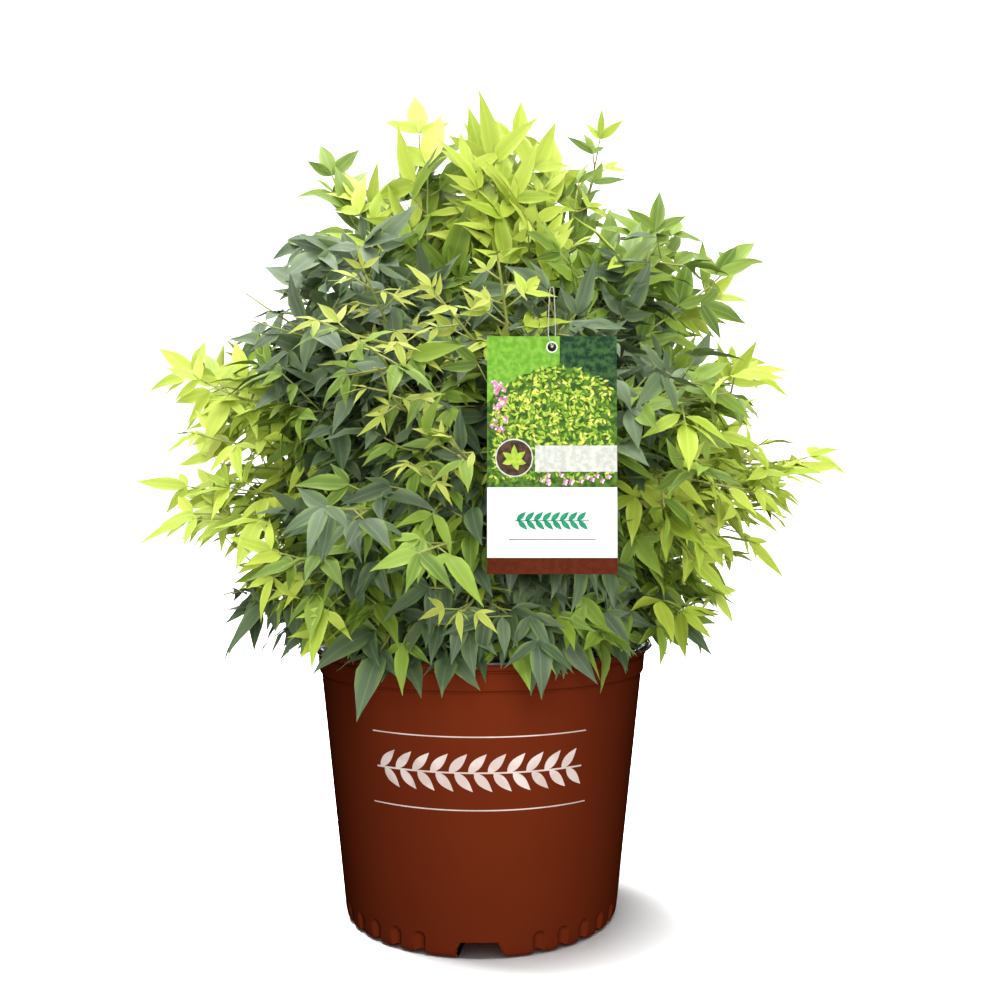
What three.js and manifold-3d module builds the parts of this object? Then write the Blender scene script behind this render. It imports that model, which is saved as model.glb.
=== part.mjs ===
// Heavenly bamboo (nandina), a compact lime-leaved form, growing in a round nursery pot.
// Millimetres, +Z up. The origin is the centre of the pot's flat underside, and the front is -Y.
// The plant is a clump of canes. Each cane ends in a compound leaf, and further leaves
// leave the canes lower down, so that the crown is a set of rings of leaves round the clump.
import * as THREE from "three";
import { mergeVertices } from "three/addons/utils/BufferGeometryUtils.js";
import Module from "manifold-3d";

const wasm = await Module();
wasm.setup();

// ---------------------------------------------------------------- driving dimensions

const gap = 0.3; // clear space between neighbouring solids
const sliver = 0.08; // smaller steps than this in a fused leaf are closed up

const pot = {
  height: 217,
  rimRadius: 140, // outer edge of the lip
  footRadius: 112, // outer wall, just above the foot's rounded edge
  footRounding: 6,
  shoulderRadius: 128, // top of the plain wall
  shoulderHeight: 194,
  bandHeight: 14.5, // the upright band between the shoulder and the lip
  wall: 2.2,
  footWall: 6.5, // the wall is thicker where the flutes bite into it
  floor: 3,
  sides: 48,
};

const arch = { count: 3, first: -90, topWidth: 26, footWidth: 40, height: 12, depth: 24, skin: 2.6 };
const flute = { perBay: 8, fromArch: 23, radius: 4.2, bite: 3.2, height: 17, sides: 6 };

const soil = { height: 198, edgeHeight: 195, flatRadius: 62 };

// Each tier is a ring of compound leaves. Azimuths are in degrees from +X. Canes start at foot,
// a distance from the middle, and other leaves attach to the upper ring's canes at a height.
// reach and height place the far end of a leaf's stalk.
const tiers = {
  spire: { count: 2, first: 12, foot: 9, reach: 30, height: 614 },
  top: { count: 4, first: 35, foot: 20, reach: 92, height: 596 },
  upper: { count: 7, first: -76, foot: 42, reach: 172, height: 516 },
  middle: { count: 7, first: -50, attach: 300, reach: 264, height: 412 },
  skirt: { count: 7, first: -102, attach: 272, reach: 206, height: 318 },
  low: { count: 7, first: -76, attach: 240, reach: 160, height: 246 },
};
// How each tier grows: rise says how straight up a path starts, arching how far above its end
// it comes in (below, if negative), wood is the path's woody share, and nod is how much the
// leaflets hang.
const habits = {
  spire: { rise: 150, arching: -90, wood: 0.6, nod: -0.2 },
  top: { rise: 150, arching: -42, wood: 0.58, nod: 0 },
  upper: { rise: 140, arching: -10, wood: 0.5, nod: 0.5 },
  middle: { rise: 60, arching: 12, wood: 0.3, nod: 0.6 },
  skirt: { rise: 40, arching: 20, wood: 0, nod: 0.8 },
  low: { rise: 36, arching: 24, wood: 0, nod: 0.7 },
};
const pathTurn = 0.34; // the share of its reach over which a path turns outwards
const lean = { towards: 178, raise: 38, push: -8 }; // the middle ring is higher on this side
const unevenness = { reach: 0.1, height: 20, azimuth: 12 };

const cane = { baseRadius: 4.6, tipRadius: 2.2, sides: 6, steps: 6, flare: 0.45 };
const bough = { baseRadius: 2.8, tipRadius: 2, sides: 5, steps: 4, flare: 0 };
const flareFade = 14; // how fast a cane's flared foot narrows along it

// One compound leaf: a stalk with pairs of side stalks, each ending in three leaflets.
const leaf = {
  pairs: 3,
  leafyFrom: 0.12,
  roll: 20, // a whole leaf is rolled about its stalk by up to half of this
  sideStalk: 54,
  shorterAtEnd: 0.4,
  shares: [1, 0.7], // the longest share of a side stalk that finds room is grown,
  swings: [0, 55, -55, 110], // at the first of these turns about the main stalk
  sideAngle: 58,
  sideLift: 0.9, // side stalks rise and fall alternately out of the leaf's plane
  stagger: 0.14, // of the space between pairs, so that two side stalks don't share a root
  spine: { points: 7, from: 0.1, beyondEnd: 37 },
  stalkSteps: 4,
  stalkRadius: 1.8,
  stalkTipRadius: 1,
  sideStalkRadius: 1.15,
  sideStalkTipRadius: 0.75,
};
const leaflet = {
  length: 62,
  width: 24,
  middleShare: 1.08, // of the length, for the middle one of three
  sideShare: 0.9,
  widestAt: 0.37,
  rootThickness: 2,
  ridge: 0.03,
  droop: 0.12,
  notch: 0.16, // how far out two neighbours part
  spread: 60, // angle between neighbours of one trio
  tilt: 36, // a leaflet is rolled about its own length by up to half of this
  sunk: 2, // how far the root reaches back into its stalk
  sizes: [1, 0.84, 0.68], // the largest of these that finds room is grown,
  turns: [0, 50, -50], // at the first of these turns about its own length
};

// A card tag on a thread loop, which is slung over the stalk of the upper ring's front leaf.
// No leaf grows in the room before its face or just behind it.
const tag = {
  width: 84,
  height: 154,
  thickness: 0.8,
  holeRadius: 3,
  holeBelowTop: 7,
  roomBefore: 57,
  roomBehind: 3,
  roomAround: 1,
};
const thread = { radius: 0.6, halfWidth: 3.4, rise: 36, slack: 0.9, knot: 1.6, sides: 5, steps: 30 };
const tagged = { shoot: "upper_1", reach: 240, height: 484, hangAt: 0.66 };

// ---------------------------------------------------------------- small helpers

const up = new THREE.Vector3(0, 0, 1);
const radians = THREE.MathUtils.degToRad;
const taper = (from, to) => (t) => from + (to - from) * t;
const turned = (heading, axis, degrees) => heading.clone().applyAxisAngle(axis, radians(degrees));

function around(azimuth, radius, height) {
  const angle = radians(azimuth);
  return new THREE.Vector3(radius * Math.cos(angle), radius * Math.sin(angle), height);
}

// The same seed always gives the same run of numbers from 0 to 1.
function seeded(seed) {
  let state = seed >>> 0;
  return () => {
    state = (state + 0x6d2b79f5) >>> 0;
    let t = state;
    t = Math.imul(t ^ (t >>> 15), t | 1);
    t ^= t + Math.imul(t ^ (t >>> 7), t | 61);
    return ((t ^ (t >>> 14)) >>> 0) / 4294967296;
  };
}

// A factor round 1, with its highest and lowest a spread apart.
const vary = (random, spread) => 1 + spread * (random() - 0.5);

const solidFrom = (vertProperties, triVerts) =>
  new wasm.Manifold(new wasm.Mesh({ numProp: 3, vertProperties, triVerts }));

// A closed three.js geometry as a manifold-3d solid.
function solidOf(geometry) {
  const bare = geometry.index ? geometry.toNonIndexed() : geometry.clone();
  for (const name of ["normal", "uv"]) bare.deleteAttribute(name);
  const merged = mergeVertices(bare, 1e-4);
  const corners = merged.index.array;
  const kept = [];
  for (let i = 0; i < corners.length; i += 3) {
    const [a, b, c] = corners.subarray(i, i + 3);
    if (a !== b && b !== c && a !== c) kept.push(a, b, c);
  }
  return solidFrom(merged.attributes.position.array, new Uint32Array(kept));
}

// A manifold-3d solid as a geometry for a mesh.
function geometryOf(solid) {
  const { vertProperties, triVerts } = solid.getMesh();
  const geometry = new THREE.BufferGeometry();
  geometry.setAttribute("position", new THREE.BufferAttribute(vertProperties, 3));
  geometry.setIndex(new THREE.BufferAttribute(triVerts, 1));
  geometry.computeVertexNormals();
  return geometry;
}

function largest(solid) {
  return solid.decompose().sort((a, b) => b.volume() - a.volume())[0];
}

// A profile of [radius, height] pairs, from the bottom up, turned about the vertical axis.
function revolve(profile, sides) {
  const points = profile.map(([r, z]) => new THREE.Vector2(r, z));
  return solidOf(new THREE.LatheGeometry(points, sides).rotateX(Math.PI / 2));
}

// The stretch of a curve between two of its parameters, as a curve of its own.
class Stretch extends THREE.Curve {
  constructor(curve, from, to) {
    super();
    Object.assign(this, { curve, from, to });
  }
  getPoint(t, target = new THREE.Vector3()) {
    return target.copy(this.curve.getPoint(this.from + (this.to - this.from) * t));
  }
}

// A closed cylinder bent along a curve, with its own radius at each station.
function limb(curve, radiusAt, sides, steps) {
  const frames = curve.computeFrenetFrames(steps, false);
  const shape = new THREE.CylinderGeometry(1, 1, 1, sides, steps);
  const place = shape.getAttribute("position");
  const corner = new THREE.Vector3();
  for (let i = 0; i < place.count; i++) {
    corner.fromBufferAttribute(place, i);
    const station = Math.round((corner.y + 0.5) * steps);
    const radius = radiusAt(station / steps);
    const point = curve.getPointAt(station / steps);
    point.addScaledVector(frames.binormals[station], corner.x * radius);
    point.addScaledVector(frames.normals[station], corner.z * radius);
    place.setXYZ(i, point.x, point.y, point.z);
  }
  return solidOf(shape);
}

// ---------------------------------------------------------------- pot and soil

// The pot's wall leans out evenly from its foot to its shoulder.
const wallRadius = taper(pot.footRadius, pot.shoulderRadius);
const wallShare = (z) => (z - pot.footRounding) / (pot.shoulderHeight - pot.footRounding);

// The inside of the pot from the middle of its floor up to its shoulder, drawn in by a clearance.
function insideProfile(clearance) {
  const inner = (z, wall) => [wallRadius(wallShare(z)) - wall - clearance, z + clearance];
  return [
    [0, pot.floor + clearance],
    inner(pot.floor, pot.footWall),
    inner(flute.height + 3, pot.footWall),
    inner(flute.height + 15, pot.wall),
    [pot.shoulderRadius - pot.wall - clearance, pot.shoulderHeight],
  ];
}

// A recess under the foot, wider below than above, let in from the outside on the +X side.
function archBlock(grow) {
  const foot = arch.footWidth / 2 + grow;
  const top = arch.topWidth / 2 + grow;
  const below = -5;
  const shape = new THREE.Shape();
  shape.moveTo(-foot, below);
  shape.lineTo(foot, below);
  shape.lineTo(foot, 0);
  shape.lineTo(top, arch.height + grow);
  shape.lineTo(-top, arch.height + grow);
  shape.lineTo(-foot, 0);
  const depth = arch.depth + grow;
  const beyond = 20;
  const block = new THREE.ExtrudeGeometry(shape, { depth: depth + beyond, bevelEnabled: false });
  return solidOf(
    block
      .rotateX(Math.PI / 2)
      .translate(0, depth - pot.footRadius, 0)
      .rotateZ(Math.PI / 2),
  );
}

function archRing(grow) {
  const block = archBlock(grow);
  const turns = Array.from({ length: arch.count }, (_, i) => arch.first + (360 / arch.count) * i);
  return wasm.Manifold.union(turns.map((turn) => block.rotate([0, 0, turn])));
}

// Round-topped grooves that run up the foot of the wall between the arches.
function flutes() {
  const { radius, height, sides, bite, perBay, fromArch } = flute;
  const outline = [
    [0, -1],
    [radius, -1],
    [radius, height - radius],
    [radius * 0.72, height - radius * 0.3],
    [0, height],
  ];
  const wallHere = wallRadius(wallShare(height));
  const groove = revolve(outline, sides).translate([wallHere + radius - bite, 0, 0]);
  const bay = 360 / arch.count;
  const step = (bay - 2 * fromArch) / (perBay - 1);
  const cutters = [];
  for (let b = 0; b < arch.count; b++)
    for (let i = 0; i < perBay; i++)
      cutters.push(groove.rotate([0, 0, arch.first + b * bay + fromArch + i * step]));
  return wasm.Manifold.union(cutters);
}

function makePot() {
  const { footRadius, footRounding, shoulderRadius, shoulderHeight, rimRadius, height } = pot;
  const bandTop = shoulderHeight + pot.bandHeight;
  const outline = [
    [0, 0],
    [footRadius - footRounding, 0],
    [footRadius - footRounding * 0.3, footRounding * 0.3],
    [footRadius, footRounding],
    [shoulderRadius, shoulderHeight],
    [shoulderRadius + 2.6, shoulderHeight + 2.5],
    [shoulderRadius + 3.4, bandTop],
    [shoulderRadius + 5.6, bandTop + 1.5],
    [shoulderRadius + 6, height - 4],
    [rimRadius, height - 3],
    [rimRadius, height],
    [0, height],
  ];
  const hollow = [
    ...insideProfile(0),
    [shoulderRadius + 1.2, bandTop],
    [shoulderRadius + 3.6, height - 2],
    [shoulderRadius + 5.2, height + 1],
    [0, height + 1],
  ];
  const cup = revolve(outline, pot.sides).subtract(flutes());
  const inside = revolve(hollow, pot.sides).subtract(archRing(arch.skin));
  return cup.subtract(inside).subtract(archRing(0));
}

function makeSoil() {
  const filled = [...insideProfile(gap)];
  const [edgeRadius] = filled.at(-1);
  filled.push([edgeRadius, soil.edgeHeight], [soil.flatRadius, soil.height], [0, soil.height]);
  return revolve(filled, pot.sides).subtract(archRing(arch.skin + gap));
}

// ---------------------------------------------------------------- shoots

// A path that leaves its foot steeply and arches over to its far end.
function shootPath(from, to, { rise, arching }) {
  const second = from.clone().addScaledVector(up, rise);
  const inwards = new THREE.Vector3(from.x - to.x, from.y - to.y, 0).multiplyScalar(pathTurn);
  const third = to.clone().add(inwards).addScaledVector(up, arching);
  return new THREE.CubicBezierCurve3(from, second, third, to);
}

function pointAtHeight(curve, height) {
  let [low, high] = [0, 1];
  for (let i = 0; i < 30; i++) {
    const middle = (low + high) / 2;
    if (curve.getPoint(middle).z < height) low = middle;
    else high = middle;
  }
  return curve.getPoint(low);
}

// Points along a leaf's stalk and on past its end, which mark out the space that the leaf may fill.
function spineOf(stalk) {
  const { points, from, beyondEnd } = leaf.spine;
  const shareAt = (i) => from + ((1 - from) * i) / (points - 1);
  const along = Array.from({ length: points }, (_, i) => stalk.getPoint(shareAt(i)));
  return [...along, stalk.getPoint(1).addScaledVector(stalk.getTangent(1), beyondEnd)];
}

function shootOf(ring, tier, index, upperRing) {
  const { count, first, foot, attach } = ring;
  const { rise, arching, wood, nod } = habits[tier];
  const name = `${tier}_${index + 1}`;
  const random = seeded(1000 * Object.keys(tiers).indexOf(tier) + 17 * index + 5);
  const sway = attach ? unevenness.azimuth * (random() - 0.5) : 0;
  const azimuth = first + (360 / count) * index + sway;
  const turn = tier === "middle" ? Math.cos(radians(azimuth - lean.towards)) : 0;
  const end = name === tagged.shoot ? tagged : ring;
  const reach = (end.reach + lean.push * turn) * vary(random, unevenness.reach);
  const height = end.height + lean.raise * turn + unevenness.height * (random() - 0.5);
  const host = attach ? upperRing[index] : null;
  const from = host ? pointAtHeight(host.path, attach) : around(azimuth, foot, soil.height + gap);
  const path = shootPath(from, around(azimuth, reach, height), { rise, arching });
  const stalk = new Stretch(path, wood, 1);
  return { name, tier, host, path, stalk, spine: spineOf(stalk), random, wood, nod };
}

// Middle and low leaves spring from the canes of the upper ring, so that ring comes before them.
function layOut() {
  const shoots = [];
  let upperRing = [];
  for (const [name, ring] of Object.entries(tiers)) {
    const made = Array.from({ length: ring.count }, (_, i) => shootOf(ring, name, i, upperRing));
    if (name === "upper") upperRing = made;
    shoots.push(...made);
  }
  return shoots;
}

// ---------------------------------------------------------------- canes, boughs and stalks

function makeWood(shoot, grow = 0) {
  const { baseRadius, tipRadius, sides, steps, flare } = shoot.host ? bough : cane;
  const flared = (t) => 1 + flare * Math.exp(-flareFade * t);
  const radiusAt = (t) => taper(baseRadius, tipRadius)(t) * flared(t) + grow;
  return limb(new Stretch(shoot.path, 0, shoot.wood), radiusAt, sides, steps);
}

// The bare stalk of a compound leaf. It starts clear of the wood that carries it.
function makeStalk(shoot) {
  const start = shoot.wood ? shoot.wood + gap / shoot.path.getLength() : 0;
  const steps = shoot.wood ? leaf.stalkSteps : leaf.stalkSteps + 2;
  const radiusAt = taper(leaf.stalkRadius, leaf.stalkTipRadius);
  return clearOfHost(limb(new Stretch(shoot.path, start, 1), radiusAt, 3, steps), shoot);
}

function clearOfHost(solid, shoot) {
  return shoot.host ? largest(solid.subtract(makeWood(shoot.host, gap))) : solid;
}

// ---------------------------------------------------------------- compound leaves

// Three leaflets that share one root: long-pointed, ridged along the middle and drooping.
// Each has a right edge, a ridge, a tip and a left edge, with a notch before the next leaflet.
function makeTrio({ root, heading: carried, lie, nod, length, seed }, size, turn) {
  const random = seeded(seed);
  const along = carried.clone().addScaledVector(up, -nod).normalize();
  const upright = lie.clone().addScaledVector(along, -lie.dot(along)).normalize();
  const normal = turned(upright, along, turn);
  const side = new THREE.Vector3().crossVectors(normal, along);
  const hub = root.clone().addScaledVector(along, -leaflet.sunk);
  const [under, top] = [0, 1];
  const corners = [-0.5, 0.5].map((h) => hub.clone().addScaledVector(normal, h * leaflet.rootThickness));
  const blades = [-1, 0, 1].map((hand) => {
    const spread = hand * leaflet.spread * vary(random, 0.12);
    const heading = turned(along, normal, spread);
    const across = turned(turned(side, normal, spread), heading, leaflet.tilt * (random() - 0.5));
    const lift = new THREE.Vector3().crossVectors(heading, across);
    const share = hand ? leaflet.sideShare : leaflet.middleShare;
    const reach = length * size * share * vary(random, 0.16);
    const half = (leaflet.width / leaflet.length) * (reach / 2);
    const droop = leaflet.droop * vary(random, 1);
    const point = (forward, sideways, raised) =>
      hub
        .clone()
        .addScaledVector(heading, forward * reach)
        .addScaledVector(across, sideways)
        .addScaledVector(lift, raised * reach);
    const first = corners.length;
    corners.push(point(leaflet.widestAt, -half, -leaflet.ridge));
    corners.push(point(leaflet.widestAt + 0.04, 0, leaflet.ridge));
    corners.push(point(1, 0, -droop));
    corners.push(point(leaflet.widestAt, half, -leaflet.ridge));
    return first;
  });
  const faces = [];
  blades.forEach((right, i) => {
    const [ridge, tip, left] = [right + 1, right + 2, right + 3];
    faces.push(top, right, ridge, right, tip, ridge, ridge, tip, left, top, ridge, left);
    faces.push(under, tip, right, under, left, tip);
    if (i === 2) return;
    const notch = corners.length;
    const between = turned(along, normal, (i - 0.5) * leaflet.spread);
    corners.push(hub.clone().addScaledVector(between, leaflet.notch * length * size));
    const next = blades[i + 1];
    faces.push(top, left, notch, top, notch, next, under, notch, left, under, next, notch);
  });
  faces.push(top, under, blades[0], top, blades[2] + 3, under);
  const solid = solidFrom(new Float32Array(corners.flatMap((c) => c.toArray())), new Uint32Array(faces));
  return { solid, corners };
}

// A side stalk leaves the main stalk at an angle, and may be swung round it.
function makeSideStalk({ root, along, normal, angle, lift, length }, swing, share) {
  const lie = turned(normal, along, swing);
  const heading = turned(along, lie, -angle).addScaledVector(lie, lift).normalize();
  const end = root.clone().addScaledVector(heading, length * share);
  const radiusAt = taper(leaf.sideStalkRadius, leaf.sideStalkTipRadius);
  const solid = limb(new THREE.LineCurve3(root, end), radiusAt, 3, 1);
  return { solid, corners: [root, end], end, heading, lie };
}

// Where one compound leaf carries trios: at its end, and on side stalks in pairs.
function planLeaf({ stalk, random, nod }) {
  const roll = leaf.roll * (random() - 0.5);
  const frameAt = (t) => {
    const along = stalk.getTangent(t);
    const level = new THREE.Vector3().crossVectors(along, up).normalize();
    const side = turned(level, along, roll);
    return { along, normal: new THREE.Vector3().crossVectors(side, along).normalize() };
  };
  const drawBlades = () => ({
    nod: nod * vary(random, 1.2),
    length: leaflet.length * vary(random, 0.24),
    seed: Math.floor(1e6 * random()),
  });
  const { along: heading, normal: lie } = frameAt(1);
  const last = { root: stalk.getPoint(1), heading, lie, ...drawBlades() };
  const sides = [];
  for (let pair = 0; pair < leaf.pairs; pair++)
    for (const hand of [1, -1]) {
      const place = pair + (hand < 0 ? leaf.stagger : 0);
      const t = leaf.leafyFrom + ((1 - leaf.leafyFrom) * place) / leaf.pairs;
      const { along, normal } = frameAt(t);
      const length = leaf.sideStalk * (1 - leaf.shorterAtEnd * t) * vary(random, 0.3);
      const angle = hand * leaf.sideAngle * vary(random, 0.24);
      const alternate = (pair + (hand + 1) / 2) % 2;
      const lift = leaf.sideLift * (random() - alternate);
      sides.push({ root: stalk.getPoint(t), along, normal, length, angle, lift, blades: drawBlades() });
    }
  return { last, sides };
}

const nearest = (point, spine) => Math.min(...spine.map((p) => p.distanceTo(point)));

// A leaf keeps to the points that are nearer its own stalk than any other leaf's.
function keepsToItself(corners, own, shoots) {
  return corners.every((corner) => {
    const limit = nearest(corner, own.spine) + gap;
    return shoots.every((shoot) => shoot === own || nearest(corner, shoot.spine) > limit);
  });
}

const obstacle = (solid, owner) => ({ solid, owner, box: solid.boundingBox() });

// Whether a solid comes nearer than the gap to any of the obstacles.
function crowds(solid, obstacles) {
  const { min, max } = solid.boundingBox();
  const near = (o) => [0, 1, 2].every((k) => min[k] < o.box.max[k] + gap && max[k] > o.box.min[k] - gap);
  return obstacles.some((o) => near(o) && solid.minGap(o.solid, 2 * gap) < gap);
}

// Each of these two gives the first try that finds room, or nothing.
function growTrio(plan, fits) {
  for (const size of leaflet.sizes)
    for (const turn of leaflet.turns) {
      const blades = makeTrio(plan, size, turn);
      if (fits(blades)) return [blades];
    }
  return [];
}

function growSide(plan, fits) {
  for (const share of leaf.shares)
    for (const swing of leaf.swings) {
      const carrier = makeSideStalk(plan, swing, share);
      if (!fits(carrier)) continue;
      const { end: root, heading, lie } = carrier;
      const blades = growTrio({ ...plan.blades, root, heading, lie }, fits);
      if (blades.length) return [carrier, ...blades];
    }
  return [];
}

// The stalk with every side stalk and trio that finds room, fused into one body.
// The slivers that fusing leaves are then closed up.
function makeFoliage(shoot, shoots, obstacles) {
  const others = obstacles.filter((o) => o.owner !== shoot.name);
  const grown = [];
  const fits = ({ solid, corners }) =>
    keepsToItself(corners, shoot, shoots) && !crowds(solid, others) && !crowds(solid, grown);
  const keep = (parts) => grown.push(...parts.map((part) => obstacle(part.solid)));
  const { last, sides } = planLeaf(shoot);
  keep(growTrio(last, fits));
  for (const side of sides) keep(growSide(side, fits));
  const whole = wasm.Manifold.union([makeStalk(shoot), ...grown.map((part) => part.solid)]);
  return largest(whole.simplify(sliver));
}

// ---------------------------------------------------------------- hanging tag

// The tag's hole lies straight under the stalk that the thread is slung over.
function tagPlace(shoots) {
  const { stalk } = shoots.find((shoot) => shoot.name === tagged.shoot);
  const over = stalk.getPoint(tagged.hangAt);
  return { over, hole: over.clone().addScaledVector(up, -thread.rise) };
}

function makeTag({ hole }) {
  const half = tag.width / 2;
  const shape = new THREE.Shape();
  shape.moveTo(-half, tag.holeBelowTop - tag.height);
  shape.lineTo(half, tag.holeBelowTop - tag.height);
  shape.lineTo(half, tag.holeBelowTop);
  shape.lineTo(-half, tag.holeBelowTop);
  shape.holes.push(new THREE.Path().absarc(0, 0, tag.holeRadius, 0, 2 * Math.PI, true));
  const card = new THREE.ExtrudeGeometry(shape, {
    depth: tag.thickness,
    bevelEnabled: false,
    curveSegments: 12,
  });
  return solidOf(card.rotateX(Math.PI / 2).translate(hole.x, hole.y + tag.thickness / 2, hole.z));
}

// The thread runs from a knot in front of the hole, up one side of the stalk and down
// the other, and back through the hole to the knot.
function makeThread({ over, hole }) {
  const { radius, halfWidth, rise, slack, knot } = thread;
  const offCard = tag.thickness / 2 + gap + radius;
  const crest = leaf.stalkRadius + gap + radius;
  const inHole = tag.holeRadius - radius - gap;
  const half = [
    [0, offCard + slack, inHole],
    [0.5 * halfWidth, offCard + slack / 2, tag.holeBelowTop - 1],
    [0.9 * halfWidth, offCard / 2, 2 * tag.holeBelowTop],
    [halfWidth, 0, rise - halfWidth],
  ];
  const frontHalf = half.map(([x, y, z]) => new THREE.Vector3(-x, -y, z));
  const backHalf = half.map(([x, y, z]) => new THREE.Vector3(x, y, z)).reverse();
  const summit = new THREE.Vector3(0, 0, rise + crest);
  const throughHole = new THREE.Vector3(0, 0, inHole - gap);
  const knotPlace = new THREE.Vector3(0, -offCard - slack - knot / 2, inHole);
  const route = [...frontHalf, summit, ...backHalf, throughHole, knotPlace];
  for (const point of route) point.add(hole);
  const curve = new THREE.CatmullRomCurve3(route, false, "centripetal");
  const loop = limb(curve, () => radius, thread.sides, thread.steps);
  const bead = new THREE.SphereGeometry(knot, 8, 6).translate(...knotPlace.toArray());
  return loop.add(solidOf(bead));
}

// ---------------------------------------------------------------- the whole plant

const looks = {
  pot: new THREE.MeshStandardMaterial({ color: 0x6e2a12, roughness: 0.42 }),
  soil: new THREE.MeshStandardMaterial({ color: 0x2c211a, roughness: 0.95 }),
  cane: new THREE.MeshStandardMaterial({ color: 0x7b6a48, roughness: 0.8 }),
  bough: new THREE.MeshStandardMaterial({ color: 0x8a9a4e, roughness: 0.6 }),
  limeLeaf: new THREE.MeshStandardMaterial({ color: 0xa6c33a, roughness: 0.5 }),
  greenLeaf: new THREE.MeshStandardMaterial({ color: 0x4d7436, roughness: 0.5 }),
  tag: new THREE.MeshStandardMaterial({ color: 0xf2f2ee, roughness: 0.35 }),
  thread: new THREE.MeshStandardMaterial({ color: 0xe8e8e4, roughness: 0.5 }),
};

const plant = new THREE.Group();

function place(name, solid, material) {
  const mesh = new THREE.Mesh(geometryOf(solid), material);
  mesh.name = name;
  plant.add(mesh);
}

// What leaves keep out of: the pot with the air inside it, all wood and stalks, and the tag
// and its thread with the room that they need.
function potRoom() {
  const [radius, height] = [pot.rimRadius + 2, pot.height + 2];
  const outline = [[0, 0], [pot.footRadius, 0], [radius, pot.shoulderHeight], [radius, height], [0, height]];
  return revolve(outline, pot.sides);
}

function tagRoom({ hole }) {
  const { width, height, holeBelowTop, roomBefore, roomBehind, roomAround } = tag;
  const deep = roomBefore + roomBehind;
  const room = new THREE.BoxGeometry(width + 2 * roomAround, deep, height + 2 * roomAround);
  return solidOf(room.translate(hole.x, hole.y + roomBehind - deep / 2, hole.z + holeBelowTop - height / 2));
}

function threadRoom({ hole }) {
  const wide = 3 * thread.halfWidth;
  const tall = thread.rise + wide / 2;
  return solidOf(new THREE.BoxGeometry(wide, wide, tall).translate(hole.x, hole.y, hole.z + tall / 2));
}

const shoots = layOut();
const hung = tagPlace(shoots);
const obstacles = [potRoom(), tagRoom(hung), threadRoom(hung)].map((solid) => obstacle(solid));
for (const shoot of shoots) {
  if (shoot.wood) obstacles.push(obstacle(makeWood(shoot)));
  obstacles.push(obstacle(makeStalk(shoot), shoot.name));
}

place("pot", makePot(), looks.pot);
place("soil", makeSoil(), looks.soil);
place("tag", makeTag(hung), looks.tag);
place("tag_thread", makeThread(hung), looks.thread);

for (const shoot of shoots.filter((s) => s.wood)) {
  const kind = shoot.host ? "bough" : "cane";
  place(`${kind}_${shoot.name}`, clearOfHost(makeWood(shoot), shoot), looks[kind]);
}
for (const shoot of shoots) {
  const look = ["low", "skirt"].includes(shoot.tier) ? looks.greenLeaf : looks.limeLeaf;
  const foliage = makeFoliage(shoot, shoots, obstacles);
  obstacles.push(obstacle(foliage, shoot.name));
  place(`foliage_${shoot.name}`, foliage, look);
}

export default plant;
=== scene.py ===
import math
import bpy
import numpy as np
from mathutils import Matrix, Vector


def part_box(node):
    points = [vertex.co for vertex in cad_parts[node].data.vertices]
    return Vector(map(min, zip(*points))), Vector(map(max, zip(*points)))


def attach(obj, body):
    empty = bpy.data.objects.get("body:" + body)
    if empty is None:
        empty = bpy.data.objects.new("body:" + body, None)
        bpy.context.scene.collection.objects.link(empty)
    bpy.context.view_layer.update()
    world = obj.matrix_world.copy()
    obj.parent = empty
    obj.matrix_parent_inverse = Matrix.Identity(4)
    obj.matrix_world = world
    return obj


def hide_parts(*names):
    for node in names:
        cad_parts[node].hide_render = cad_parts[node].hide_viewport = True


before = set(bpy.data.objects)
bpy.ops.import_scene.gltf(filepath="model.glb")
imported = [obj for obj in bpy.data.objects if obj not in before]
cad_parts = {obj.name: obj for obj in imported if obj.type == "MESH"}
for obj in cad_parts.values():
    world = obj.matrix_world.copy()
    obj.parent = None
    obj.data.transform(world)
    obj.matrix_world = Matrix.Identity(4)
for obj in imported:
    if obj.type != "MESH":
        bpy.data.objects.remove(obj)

# A heavenly bamboo in its nursery pot. Lengths below are in millimetres and angles in degrees,
# and meshOf turns them into metres. +Z is up and the front is -Y.
mm = 0.001
up = np.array([0.0, 0.0, 1.0])
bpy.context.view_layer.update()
nodeNames = sorted(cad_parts)


# helpers

def unit(v):
    return v / np.maximum(np.linalg.norm(v, axis=-1, keepdims=True), 1e-9)


def turned(v, axis, degrees):
    # each vector turned about its unit axis: v cos + (axis x v) sin + axis (axis . v)(1 - cos)
    angle = np.radians(degrees)[..., None]
    along = (axis * v).sum(-1, keepdims=True)
    return v * np.cos(angle) + np.cross(axis, v) * np.sin(angle) + axis * along * (1 - np.cos(angle))


def meshOf(name, points, faces, uv=None, tint=None):
    # faces is a list of arrays, one row of corner numbers a face; uv is given for each point
    mesh = bpy.data.meshes.new(name)
    corners = np.concatenate([f.ravel() for f in faces]).astype(np.int32)
    sizes = np.concatenate([np.full(len(f), f.shape[1]) for f in faces]).astype(np.int32)
    mesh.vertices.add(len(points))
    mesh.vertices.foreach_set("co", (points * mm).astype(np.float32).ravel())
    mesh.loops.add(len(corners))
    mesh.loops.foreach_set("vertex_index", corners)
    mesh.polygons.add(len(sizes))
    mesh.polygons.foreach_set("loop_start", np.cumsum(sizes) - sizes)
    mesh.polygons.foreach_set("loop_total", sizes)
    if uv is not None:
        layer = mesh.uv_layers.new(name="leaf")
        layer.data.foreach_set("uv", uv[corners].astype(np.float32).ravel())
    if tint is not None:
        mesh.attributes.new("tint", "FLOAT", "POINT").data.foreach_set("value", tint.astype(np.float32))
    mesh.update(calc_edges=True)
    mesh.validate()
    mesh.polygons.foreach_set("use_smooth", np.ones(len(mesh.polygons), bool))
    return mesh


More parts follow.
